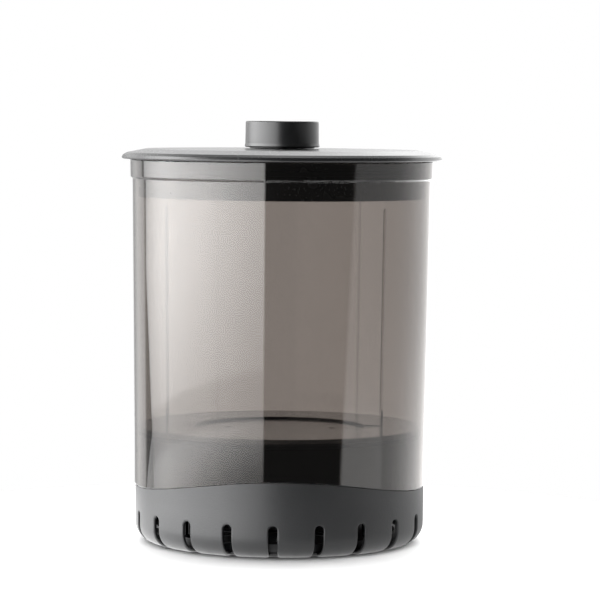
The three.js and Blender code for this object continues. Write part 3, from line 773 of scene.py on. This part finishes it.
def build_lid(context):
    """Lid shell with its domed top, rounded rim and grooved skirt, and the seal in the groove."""
    wall = context.scene.circulator_wall
    size = in_mm(context.scene.circulator_lid)
    rim = size.rim_radius
    skirt = bore_radius(wall, SKIRT_FOOT) - 0.65
    inner = skirt - size.skirt_thickness
    groove = reach("lid_seal") - 1.4
    seal_low, seal_high = level("lid_seal", 0) - GAP, level("lid_seal", 1) + GAP
    rim_top = FLANGE_UNDER + 4.4
    under = LID_TOP - 2.5
    hole = 1.7
    knob = size.knob_radius
    outline = rounded(
        [
            (hole, under),
            (rim * 0.67, under - 0.5, 4),
            (inner, rim_top - 2.5, 1.5),
            (inner, SKIRT_FOOT, 0.5),
            (skirt, SKIRT_FOOT, 0.6),
            (skirt, seal_low, 0.15),
            (groove, seal_low, 0.15),
            (groove, seal_high, 0.15),
            (skirt, seal_high, 0.15),
            (skirt, FLANGE_UNDER, 0.4),
            (rim - 3.7, FLANGE_UNDER, 1.0),
            (rim - 0.7, FLANGE_UNDER + 0.2, 0.4),
            (rim, FLANGE_UNDER + 0.9, 0.3),
            (rim - 0.8, FLANGE_UNDER + 2.4, 0.8),
            (rim - 2.9, FLANGE_UNDER + 3.6, 1.0),
            (rim - 7, rim_top, 6),
            (rim - 13, rim_top + 1.2, 8),
            (rim - 28, rim_top + 1.42, 20),
            (knob + 1, LID_TOP, 3),
            (hole, LID_TOP),
        ]
    )
    obj = mesh_object(turned(outline, sides=FINE_SIDES), "lid_shell")
    finished(obj, "lid", finish_of("lid_grey"), ["lid"])
    bm = bmesh.new()
    soft_ring(bm, groove + GAP, reach("lid_seal"), seal_low + GAP, seal_high - GAP, 0.6)
    obj = mesh_object(bm, "lid_seal_ring")
    finished(obj, "lid", finish_of("rubber"), ["lid_seal"])


SCREW_HEAD = 0.9  # height of a screw's head


def screw_outline(head_radius, shank_radius, length, head_height):
    """Half section of a pan-head screw whose head lies below its seat at height 0, with a thread."""
    pitch = 0.8
    threads = int((length - 1.2) / pitch)
    outline = [(0, -head_height * 0.45), (head_radius * 0.28, -head_height * 0.45)]
    outline += rounded(
        [
            (head_radius * 0.34, -head_height),
            (head_radius * 0.72, -head_height, 0.3),
            (head_radius, -head_height * 0.45, 0.25),
            (head_radius, 0, 0.1),
            (shank_radius - 0.2, 0),
        ],
        3,
        closed=False,
    )
    for i in range(threads):
        low = 0.4 + i * pitch
        outline += [(shank_radius - 0.2, low), (shank_radius, low + pitch / 2)]
    outline += [(shank_radius - 0.3, length - 0.6), (0, length)]
    return outline


def build_knob(context):
    """Knob with a flared foot, and the washer and screw under the lid."""
    size = in_mm(context.scene.circulator_lid)
    radius = size.knob_radius
    foot, top = level("lid_knob", 0), level("lid_knob", 1)
    outline = rounded(
        [
            (0, foot + 8),
            (1.7, foot + 8, 0.2),
            (1.7, foot, 0.4),
            (radius - 2.2, foot, 0.2),
            (radius - 2.2, foot + 0.6, 0.1),
            (radius - 0.1, foot + 0.6, 0.2),
            (radius + 0.5, foot + 1.1, 0.25),
            (radius + 0.15, foot + 2.7, 1.5),
            (radius, top, 0.9),
            (0, top),
        ],
        closed=False,
    )
    obj = mesh_object(turned(outline, sides=128), "lid_knob_turned")
    finished(obj, "lid", finish_of("knob_grey"), ["lid_knob"])
    bm = bmesh.new()
    soft_ring(bm, 1.7, reach("knob_washer"), level("knob_washer", 0), level("knob_washer", 1), 0.2, 64)
    obj = mesh_object(bm, "knob_washer_disc")
    finished(obj, "lid", finish_of("steel"), ["knob_washer"])
    low, high = level("knob_screw", 0), level("knob_screw", 1)
    bm = bmesh.new()
    points = lathe(bm, screw_outline(4.5, 1.4, high - low - SCREW_HEAD, SCREW_HEAD), 32)
    moved(bm, points, Matrix.Translation((0, 0, low + SCREW_HEAD)))
    obj = mesh_object(bm, "knob_screw_turned")
    finished(obj, "lid", finish_of("steel"), ["knob_screw"])


# ------------------------------------------------------------------ floor of the bath

TAB_WIDTH = 6.0  # of the disc's finger tab


def build_floor(context):
    """Floor plug: stepped rim, seat for the disc, impeller chamber and posts, and its seal."""
    wall = context.scene.circulator_wall
    rim = bore_radius(wall, FLOOR_TOP) - GAP
    rim_foot = FLOOR_TOP - 2.6
    thickness = 2.8
    seal_foot = level("vessel_seal", 0) - GAP
    groove = rim - 1.5
    side_top = bore_radius(wall, seal_foot) - GAP - 0.4
    side_foot = bore_radius(wall, WAVE_HIGH) - GAP - 0.4
    inner = side_foot - 2.3
    seat = reach("impeller_cover") + GAP
    seat_level = level("impeller_cover", 0) - GAP
    under, seat_under = FLOOR_TOP - thickness, seat_level - thickness
    chamber = 34.3  # radius of the impeller's chamber
    chamber_floor = seat_level - 11.5
    chamber_outside = chamber + 2.2
    lip = level("plate_nut", 1) + GAP
    lip_radius = 26.0  # of the hole that the heater plate closes
    foot = 26  # level of the side wall's foot, inside the boot
    dish = 0.4  # fall of the floor from its rim to the disc
    outline = rounded(
        [
            (lip_radius, lip, 0.4),
            (chamber_outside, lip, 0.8),
            (chamber_outside, seat_under, 0.8),
            (seat + thickness, seat_under, 0.8),
            (seat + 2 * thickness, under, 1.0),
            (inner, under, 1.0),
            (inner, foot, 0.5),
            (side_foot, foot, 0.5),
            (side_foot, WAVE_HIGH),
            (side_top, seal_foot, 0.3),
            (groove, seal_foot, 0.2),
            (groove, rim_foot, 0.2),
            (rim - 0.5, rim_foot, 0.2),
            (rim, FLOOR_TOP, 0.3),
            (seat, FLOOR_TOP - dish, 0.2),
            (seat, seat_level, 0.3),
            (chamber, seat_level, 0.4),
            (chamber, chamber_floor, 0.8),
            (lip_radius, chamber_floor, 0.4),
        ]
    )
    plug = mesh_object(turned(outline, sides=FINE_SIDES), "floor_plug_moulding")
    tab_end = mm_box("impeller_cover")[1].x + GAP
    notch = bmesh.new()
    shape = rectangle(tab_end - chamber, TAB_WIDTH + 2 * GAP, 1.2)
    slab(notch, shape, seat_level, FLOOR_TOP + 2, 0.1)
    moved(notch, notch.verts, Matrix.Translation(((tab_end + chamber) / 2, 0, 0)))
    combined(plug, mesh_object(notch, "notch"), "DIFFERENCE")
    bm = in_millimetres(plug.data)
    posts = [mm_box(f"cover_screw_{i + 1}") for i in range(4)]
    feet = [level("base_boot", 0) + 6.6] * 4
    posts += [mm_box("mount_screw_left"), mm_box("mount_screw_right")]
    feet += [level("motor_mount", 1) + GAP] * 2
    hole, outside, root = 1.8, 3.8, 4.2  # radii of a screw post
    into = under + 0.5
    for (low, high), post_foot in zip(posts, feet):
        middle = (low + high) / 2
        corners = [(hole, post_foot, 0.2), (outside, post_foot, 0.4), (root, into), (hole, into)]
        outline = rounded(corners, 3)
        points = lathe(bm, outline, 32)
        moved(bm, points, Matrix.Translation((middle.x, middle.y, 0)))
    bpy.data.objects.remove(plug)
    plug = mesh_object(bm, "floor_plug_moulding")
    finished(plug, "base", finish_of("gloss_black"), ["floor_plug"])
    bm = bmesh.new()
    soft_ring(bm, groove + GAP, rim, seal_foot + GAP, rim_foot - GAP, 0.5)
    ring = mesh_object(bm, "vessel_seal_ring")
    finished(ring, "base", finish_of("rubber"), ["vessel_seal"])


def build_cover(context):
    """Disc over the impeller, with a finger tab and two small holes on either side."""
    low, high = mm_box("impeller_cover")
    radius = high.y
    section = [(0, low.z), (radius, low.z), (radius, high.z), (0, high.z)]
    disc = mesh_object(turned(section, sides=160), "impeller_cover_disc")
    tab_length = 13.5
    bm = bmesh.new()
    slab(bm, rectangle(tab_length, TAB_WIDTH, 1.5), low.z, high.z, 0.01)
    moved(bm, bm.verts, Matrix.Translation((high.x - tab_length / 2, 0, 0)))
    tab = mesh_object(bm, "tab")
    combined(disc, tab, "UNION")
    for offset, hole in ((36, 1.3), (28, 2.1)):  # distance from the middle, radius
        bm = turned([(0, low.z - 1), (hole, low.z - 1), (hole, high.z + 1), (0, high.z + 1)], sides=24)
        moved(bm, bm.verts, Matrix.Translation(at(offset, math.pi / 2, 0)))
        combined(disc, copied_round(mesh_object(bm, "drill"), 2), "DIFFERENCE")
    soften(disc, 0.25, 50, 2)
    finished(disc, "cover", finish_of("cover_grey"), ["impeller_cover"], 50)


# ------------------------------------------------------------------ boot


def boot_path(size, radius, straight):
    """The outer half section of the boot as a function of the distance along it from its inner edge."""
    ring = 5.0
    centre = radius - size.corner
    bend = size.corner * math.pi / 2
    total = ring + bend + straight - size.corner

    def point(distance, depth):
        if distance < ring:
            return centre - ring + distance, depth
        if distance < ring + bend:
            angle = (distance - ring) / size.corner
            inner = size.corner - depth
            return centre + inner * math.sin(angle), size.corner - inner * math.cos(angle)
        return radius - depth, size.corner + distance - ring - bend

    return point, total, ring + bend


def build_boot(context):
    """Boot: a skin with round-headed slots, made as one sector and repeated, plain rings and a doorway."""
    base = context.scene.circulator_base
    size = in_mm(base)
    count = base.slot_count
    radius = wall_radius(context.scene.circulator_wall, WAVE_LOW) - 0.25
    thickness = 1.9
    path, total, straight_at = boot_path(size, radius, BOOT_STRAIGHT)
    half = size.slot_width / 2
    slot_foot = 3.2  # along the path, from the ring's inner edge
    slot_head = straight_at + size.slot_top - size.corner - half
    sector = math.pi / count
    head_room = total - slot_head
    half_pitch = sector * radius
    corner_angle = math.atan2(head_room, half_pitch)
    over = sorted({0.0, corner_angle / 2, corner_angle, 0.87, 1.13, 1.36, math.pi / 2})

    # Half of the slot's edge, from its foot to its head. Each entry holds a point of the edge, the point
    # on the border of the slot's sector that it is joined to, and the way out of the slot.
    nose = 0.9  # fillet of the slot's foot
    right = []
    for share in evenly(0, 1, 4):
        angle = math.pi / 2 * share
        spot = (half - nose + nose * math.sin(angle), slot_foot + nose - nose * math.cos(angle))
        border = min(0.75 * math.sin(angle) + 0.25 * (share > 0), 1) * sector
        right.append((spot, (border, 0.0), (math.sin(angle), -math.cos(angle))))
    side_steps = 13
    for k, distance in enumerate(evenly(slot_foot + nose, slot_head, side_steps + 1)[1:], 1):
        right.append(((half, distance), (sector, slot_head * k / side_steps), (1.0, 0.0)))
    for angle in over[1:]:
        spot = (half * math.cos(angle), slot_head + half * math.sin(angle))
        if angle <= corner_angle:
            out = (sector, slot_head + half_pitch * math.tan(angle))
        else:
            out = (sector * head_room / math.tan(angle) / half_pitch, total)
        right.append((spot, out, (math.cos(angle), math.sin(angle))))
    centre_foot = ((0.0, slot_foot), (0.0, 0.0), (0.0, -1.0))
    left = [((-s[0], s[1]), (-o[0], o[1]), (-n[0], n[1])) for s, o, n in reversed(right[:-1])]
    loop = [centre_foot, *right, *left]
    rim = 0.75  # fillet of the slot's outer edge
    back = 0.3  # and of its inner edge

    def lifted(angle_and_distance, depth):
        angle, distance = angle_and_distance
        r, z = path(distance, depth)
        return at(r, angle, z)

    def edge_ring(bm, offset, depth):
        ring = []
        for spot, _, normal in loop:
            across, distance = spot[0] + normal[0] * offset, spot[1] + normal[1] * offset
            ring.append(bm.verts.new(lifted((across / path(distance, 0)[0], distance), depth)))
        return ring

    def blend_ring(bm, share, depth, start):
        ring = []
        for spot, out, normal in loop:
            near = spot[0] + normal[0] * rim, spot[1] + normal[1] * rim
            angle = near[0] / path(near[1], 0)[0]
            far = start + out[1] * (total - start) / total
            place = (angle + (out[0] - angle) * share, near[1] + (far - near[1]) * share)
            ring.append(bm.verts.new(lifted(place, depth)))
        return ring

    bm = bmesh.new()
    rows = [blend_ring(bm, share, 0, 0) for share in (1, 0.7, 0.45, 0.25, 0.1)]
    for k in range(5):
        angle = math.pi / 2 * k / 4
        rows.append(edge_ring(bm, rim * (1 - math.sin(angle)), rim * (1 - math.cos(angle))))
    for k in range(4):
        angle = math.pi / 2 * (1 - k / 3)
        rows.append(edge_ring(bm, back * (1 - math.sin(angle)), thickness - back * (1 - math.cos(angle))))
    rows += [blend_ring(bm, share, thickness, 2.2) for share in (0.1, 0.3, 0.6, 1)]
    for first, second in zip(rows, rows[1:]):
        stitch(bm, first, second)
    lower = copied_round(mesh_object(bm, "boot_sector"), count, base.slot_turn)

    # The plain rings above and inside the slots share the sectors' vertex angles.
    def angles_at(points):
        turns = sorted({round(out[0], 9) for _, out, _ in points})
        whole = [base.slot_turn + 2 * sector * i + turn for i in range(count) for turn in turns]
        return sorted({round(a % (2 * math.pi), 7) for a in whole})

    upper_angles = angles_at([p for p in loop if p[1][1] == total])
    lower_angles = angles_at([p for p in loop if p[1][1] == 0.0])
    lip = size.lip
    edge = [(radius, BOOT_STRAIGHT), (radius, BOOT_STRAIGHT + 3)]
    edge += rounded(
        [
            (radius + lip, WAVE_HIGH),
            (radius - thickness, WAVE_HIGH, 0.4),
            (radius - thickness, WAVE_HIGH - 6),
        ],
        5,
        closed=False,
    )
    edge += [(radius - thickness, BOOT_STRAIGHT)]
    bm = bmesh.new()
    open_lathe(bm, edge, upper_angles, lambda a, r, h: (r, on_wave(a, h, BOOT_STRAIGHT, 0)))
    inner = radius - size.corner - 5
    step = [(inner, 0), (inner, 0.4), (inner, 6.3), (inner + 2.2, 6.3), (inner + 2.2, thickness)]
    open_lathe(bm, step, lower_angles, None)
    upper = mesh_object(bm, "boot_rings")
    boot = merged([lower, upper], "base_boot_shell")
    inlet_face = mm_box("power_inlet")[1].y
    door_foot, door_head = 21.2, 32.8
    bm = bmesh.new()
    slab(bm, rectangle(20.6, 16, 0.5), door_foot, door_head, 0.1)
    moved(bm, bm.verts, Matrix.Translation((0, inlet_face - 4, 0)))
    combined(boot, mesh_object(bm, "doorway"), "DIFFERENCE")
    finished(boot, "base", finish_of("boot_matt"), ["base_boot"], 50)


def open_lathe(bm, outline, angles, shape):
    """Adds an open skin turned about the upright axis."""
    columns = []
    for angle in angles:
        column = []
        for radius, height in outline:
            if shape:
                radius, height = shape(angle, radius, height)
            column.append(bm.verts.new(at(radius, angle, height)))
        columns.append(column)
    for i, column in enumerate(columns):
        stitch(bm, column, columns[(i + 1) % len(columns)], closed=False)


# ------------------------------------------------------------------ underside and works


def refined(node, body, width):
    """A copy of a CAD node with its faces joined and its sharp edges rounded."""
    bm = in_millimetres(frame["nodes"][node].data)
    bmesh.ops.remove_doubles(bm, verts=bm.verts, dist=MERGE)
    bmesh.ops.dissolve_limit(bm, angle_limit=math.radians(0.5), verts=bm.verts, edges=bm.edges)
    obj = mesh_object(bm, f"{node}_fine")
    soften(obj, width, 35, 2)
    slot = SLOTS[node]
    return finished(obj, body, finish_of("can_black" if node == "motor_can" else slot), [node])


def ring_of(outline, name, spot, count, nodes, slot):
    """Turned pieces repeated evenly round the base, from where the first one stands."""
    bm = turned(outline, sides=32)
    moved(bm, bm.verts, Matrix.Translation(at(math.hypot(spot.x, spot.y), 0, 0)))
    material = finish_of(slot)
    ring = copied_round(mesh_object(bm, name), count, math.atan2(spot.x, -spot.y), material)
    return finished(ring, "base", material, nodes)


def build_underside(context):
    """Bottom cover, foot pads and the cover's screws."""
    refined("bottom_cover", "base", 0.25)
    low, high = mm_box("foot_pad_1")
    middle, radius = (low + high) / 2, (high.x - low.x) / 2
    hollow = low.z + 0.25  # the pad stands on its outer ring
    outline = [(0, hollow), (radius - 2.4, hollow, 0.3), (radius - 1.8, low.z, 0.3)]
    outline += [(radius - 0.5, low.z, 0.4), (radius, high.z, 0.1), (0, high.z)]
    nodes = [f"foot_pad_{i + 1}" for i in range(4)]
    ring_of(rounded(outline, closed=False), "foot_pad_ring", middle, 4, nodes, "rubber")
    for first, second in ((1, 3), (2, 4)):
        low, high = mm_box(f"cover_screw_{first}")
        seat = low.z + SCREW_HEAD
        outline = [(r, h + seat) for r, h in screw_outline(2.9, 1.5, high.z - seat, SCREW_HEAD)]
        middle = (low + high) / 2
        nodes = [f"cover_screw_{first}", f"cover_screw_{second}"]
        ring_of(outline, f"cover_screws_{first}", middle, 2, nodes, "steel")


# Bodies, edge widths and nodes of the pieces that keep the CAD's shape, with its edges rounded
WORKS = [
    ("base", 0.2, "power_inlet inlet_pin_1 inlet_pin_2 shaft_seal shaft_bush"),
    ("base", 0.2, "heater_plate plate_nut plate_gasket heater_element thermal_cutout"),
    ("base", 0.1, "temperature_sensor element_terminal_front element_terminal_back"),
    ("base", 0.3, "motor_can motor_mount capacitor power_module relay terminal_block"),
    ("base", 0.08, "control_board mount_screw_left mount_screw_right"),
    ("base", 0.08, "motor_screw_left motor_screw_right"),
    ("base", 0.08, "board_screw_1 board_screw_2 board_screw_3 board_screw_4"),
    ("rotor", 0.25, "impeller"),
    ("rotor", 0.15, "impeller_shaft coupling motor_shaft"),
]


def build_works(context):
    """Inlet, impeller, and what heats and drives."""
    for body, width, nodes in WORKS:
        for node in nodes.split():
            refined(node, body, width)


# ------------------------------------------------------------------ stage


FLOOR_RADIUS = 250


def build_floor_disc():
    """White floor. Glossy rays see a painted glow on it instead of its shading, brighter towards the softbox.
    """
    bm = bmesh.new()
    bmesh.ops.create_circle(bm, cap_ends=True, segments=128, radius=FLOOR_RADIUS)
    floor = mesh_object(bm, "studio_floor")
    material, nodes, bsdf, out = surface("studio_white")
    feed(nodes, bsdf, Base_Color=(0.8, 0.8, 0.8, 1), Roughness=0.9, Specular_IOR_Level=0.0)
    split = nodes.node("ShaderNodeSeparateXYZ", None, {0: nodes.place()})
    # Painted light: mirrored rays see the floor as an emission, stronger on the softbox side, in place of its
    # lit shading.
    towards_softbox = 1 - Value(nodes, split.outputs[0]).between(-0.09, 0.03)
    painted_glow = nodes.node("ShaderNodeEmission", None, {"Strength": 1.3 + towards_softbox * 2.2})
    glossy = nodes.node("ShaderNodeLightPath").outputs["Is Glossy Ray"]
    mixed = nodes.node("ShaderNodeMixShader", None, {0: glossy, 1: bsdf.outputs[0], 2: painted_glow.outputs[0]})
    nodes.tree.links.new(mixed.outputs[0], out.inputs["Surface"])
    floor.data.materials.append(material)


def build_world(context, light):
    """Softbox on the left, dark gap in front, fill on the right and a white backdrop.

    Azimuth is 0 at the front and grows towards +X. Diffuse surfaces see a plain overhead light.
    """
    world = bpy.data.worlds.new("Studio")
    world.use_nodes = True
    world.cycles.sampling_method = "NONE"
    context.scene.world = world
    nodes = Nodes(world.node_tree)
    direction = nodes.node("ShaderNodeTexCoord").outputs["Generated"]
    split = nodes.node("ShaderNodeSeparateXYZ", None, {0: direction}).outputs
    x, y, z = (Value(nodes, split[i]) for i in range(3))
    azimuth = x.math("ARCTAN2", x, y * -1) * math.degrees(1)
    turn = azimuth.math("ABSOLUTE", azimuth)

    # Softbox: fades towards the front and below, and stops short of the middle.
    slope = z.between(-0.150, -0.132) * 0.3 + z.between(-0.14, -0.05) * 0.45 + 0.25
    slope = slope - (1 - z.between(-0.115, -0.111)) * z.between(-0.131, -0.126) * 0.14
    softbox = 1.6 + azimuth.between(-140, -90) * 9.5 - azimuth.between(-78, -4) * 6.0
    softbox = softbox * (1 - azimuth.between(-14, -11.5)) * (slope + (1 - z.between(-0.4, -0.22)) * 0.75)

    # Its rear edge slants below eye level. A dim wing and, low down, a flap stand beside it.
    low = 1 - z.between(-0.066, -0.060)
    edge = azimuth + 129 - low * (0.5 - z * 161 - 11)
    wing = (1 - azimuth.between(-134, -128)) * 1.7 * azimuth.between(-178, -140)
    flap = (azimuth + 17.3 - z * 860).between(-1, 1) * (1 - z.between(-0.116, -0.112))
    beside = wing + (1 - wing.between(0, 0.5)) * (flap * 1.6 + 0.4)
    softbox = edge.between(-0.8, 0.8) * softbox + (1 - edge.between(-0.8, 0.8)) * beside
    softbox = softbox * azimuth.between(-178, -150) * (1 - z.between(0.62, 0.72))

    # Fill on the right, with a brighter card along its slanting front edge.
    start = azimuth - 62 - z * 90 - z.between(-0.035, -0.01) * 16
    card = start.between(-2, 2) * (1 - (start + z * 60).between(27, 31)) * (1 - z.between(-0.13, -0.11))
    fill = start.between(-2, 2) * (1 + azimuth.between(90, 130) * 0.5) * (1 - z.between(0.4, 0.6))
    fill = fill * (1 + (1 - z.between(-0.15, -0.06)) * 0.5) + card * 0.5
    fill = fill * (1 - azimuth.between(172, 180))
    rear = turn.between(155, 179)

    # A ray that nothing has mirrored or scattered sees the plain backdrop, also through the clear wall.
    rays = nodes.node("ShaderNodeLightPath").outputs
    through = Value(nodes, rays["Transmission Depth"])
    deep = 1 - (through > 2.5) * 0.8
    mirrored = (softbox * light.softbox + fill * light.fill) * deep + rear * light.backdrop
    mirrored = mirrored + 0.1 + z.between(0.1, 0.3) * turn.between(95, 120) * 0.6
    overhead = 0.35 + turn.between(60, 150) * light.overhead * z.between(0.0, 0.2)
    is_diffuse = Value(nodes, rays["Is Diffuse Ray"])
    studio = is_diffuse * overhead + (1 - is_diffuse) * mirrored
    bounced = (Value(nodes, rays["Ray Depth"]) - through) > 1.5
    strength = bounced * studio + (1 - bounced) * light.backdrop
    back = nodes.node("ShaderNodeBackground", None, {"Color": (1, 1, 1, 1), "Strength": strength})
    out = nodes.node("ShaderNodeOutputWorld")
    nodes.tree.links.new(back.outputs[0], out.inputs["Surface"])
    context.scene.view_settings.view_transform = "Standard"


def build_camera(context):
    """Long lens a little above the lid, tilted down."""
    distance, height = 1.60718, 0.23124
    yaw, pitch, roll = (math.radians(a) for a in (0.3654, 3.628, 0.4917))
    camera = bpy.data.cameras.new("Camera")
    camera.lens = 179.83
    camera.sensor_width = 36
    camera.clip_end = 20
    ahead = Vector(
        (math.sin(yaw) * math.cos(pitch), math.cos(yaw) * math.cos(pitch), -math.sin(pitch))
    )
    right = Vector((math.cos(yaw), -math.sin(yaw), 0))
    up = right.cross(ahead)
    across = math.cos(roll) * right + math.sin(roll) * up
    upward = -math.sin(roll) * right + math.cos(roll) * up
    turn = Matrix((across, upward, -ahead)).transposed().to_4x4()
    eye = bpy.data.objects.new("Camera", camera)
    eye.matrix_world = Matrix.Translation((0, -distance, height)) @ turn
    context.scene.collection.objects.link(eye)
    context.scene.camera = eye


def build_stage(context):
    """Floor, light and camera."""
    build_floor_disc()
    build_world(context, context.scene.circulator_light)
    build_camera(context)


def dress_frame(context):
    """Gives the CAD nodes that stay their finishes."""
    for name, obj in frame["nodes"].items():
        obj.data.materials.clear()
        obj.data.materials.append(finish_of("can_black" if name == "motor_can" else SLOTS[name]))


# ------------------------------------------------------------------ operators and panel


class CIRCULATOR_OT_stage(bpy.types.Operator):
    """Makes the floor, the light and the camera"""

    bl_idname = "circulator.stage"
    bl_label = "Stage"
    bl_options = {"REGISTER", "UNDO"}

    def execute(self, context):
        build_stage(context)
        return {"FINISHED"}


class CIRCULATOR_OT_vessel(bpy.types.Operator):
    """Makes the clear wall with its collar and ribs"""

    bl_idname = "circulator.vessel"
    bl_label = "Vessel"
    bl_options = {"REGISTER", "UNDO"}

    def execute(self, context):
        build_vessel(context)
        return {"FINISHED"}


class CIRCULATOR_OT_lid(bpy.types.Operator):
    """Makes the lid and its seal"""

    bl_idname = "circulator.lid"
    bl_label = "Lid"
    bl_options = {"REGISTER", "UNDO"}

    def execute(self, context):
        build_lid(context)
        return {"FINISHED"}


class CIRCULATOR_OT_knob(bpy.types.Operator):
    """Makes the knob and what fastens it"""

    bl_idname = "circulator.knob"
    bl_label = "Knob"
    bl_options = {"REGISTER", "UNDO"}

    def execute(self, context):
        build_knob(context)
        return {"FINISHED"}


class CIRCULATOR_OT_floor(bpy.types.Operator):
    """Makes the floor of the bath and its seal"""

    bl_idname = "circulator.floor"
    bl_label = "Floor plug"
    bl_options = {"REGISTER", "UNDO"}

    def execute(self, context):
        build_floor(context)
        return {"FINISHED"}


class CIRCULATOR_OT_cover(bpy.types.Operator):
    """Makes the pierced disc over the impeller"""

    bl_idname = "circulator.cover"
    bl_label = "Impeller cover"
    bl_options = {"REGISTER", "UNDO"}

    def execute(self, context):
        build_cover(context)
        return {"FINISHED"}


class CIRCULATOR_OT_boot(bpy.types.Operator):
    """Makes the slotted boot"""

    bl_idname = "circulator.boot"
    bl_label = "Boot"
    bl_options = {"REGISTER", "UNDO"}

    def execute(self, context):
        build_boot(context)
        return {"FINISHED"}


class CIRCULATOR_OT_underside(bpy.types.Operator):
    """Makes the bottom cover, its screws and the foot pads"""

    bl_idname = "circulator.underside"
    bl_label = "Underside"
    bl_options = {"REGISTER", "UNDO"}

    def execute(self, context):
        build_underside(context)
        return {"FINISHED"}


class CIRCULATOR_OT_works(bpy.types.Operator):
    """Makes the inlet, the impeller and what drives and heats it"""

    bl_idname = "circulator.works"
    bl_label = "Works"
    bl_options = {"REGISTER", "UNDO"}

    def execute(self, context):
        build_works(context)
        return {"FINISHED"}


class CIRCULATOR_OT_frame(bpy.types.Operator):
    """Gives the CAD parts their finishes"""

    bl_idname = "circulator.frame"
    bl_label = "Frame finishes"
    bl_options = {"REGISTER", "UNDO"}

    def execute(self, context):
        dress_frame(context)
        return {"FINISHED"}


OPERATORS = [
    CIRCULATOR_OT_stage,
    CIRCULATOR_OT_vessel,
    CIRCULATOR_OT_lid,
    CIRCULATOR_OT_knob,
    CIRCULATOR_OT_floor,
    CIRCULATOR_OT_cover,
    CIRCULATOR_OT_boot,
    CIRCULATOR_OT_underside,
    CIRCULATOR_OT_works,
    CIRCULATOR_OT_frame,
]


class CIRCULATOR_PT_panel(bpy.types.Panel):
    bl_label = "Circulator"
    bl_idname = "CIRCULATOR_PT_panel"
    bl_space_type = "VIEW_3D"
    bl_region_type = "UI"
    bl_category = "Circulator"

    def draw(self, context):
        for made in OPERATORS:
            self.layout.operator(made.bl_idname)
        for name, group in GROUPS.items():
            box = self.layout.box()
            for prop in group.__annotations__:
                box.prop(getattr(context.scene, name), prop)


CLASSES = [*GROUPS.values(), *OPERATORS, CIRCULATOR_PT_panel]


def register():
    for made in CLASSES:
        bpy.utils.register_class(made)
    for name, group in GROUPS.items():
        setattr(bpy.types.Scene, name, PointerProperty(type=group))


def unregister():
    for name in GROUPS:
        delattr(bpy.types.Scene, name)
    for made in reversed(CLASSES):
        bpy.utils.unregister_class(made)


def main():
    register()
    for made in OPERATORS:
        group, name = made.bl_idname.split(".")
        getattr(getattr(bpy.ops, group), name)()


if __name__ == "__main__":
    main()
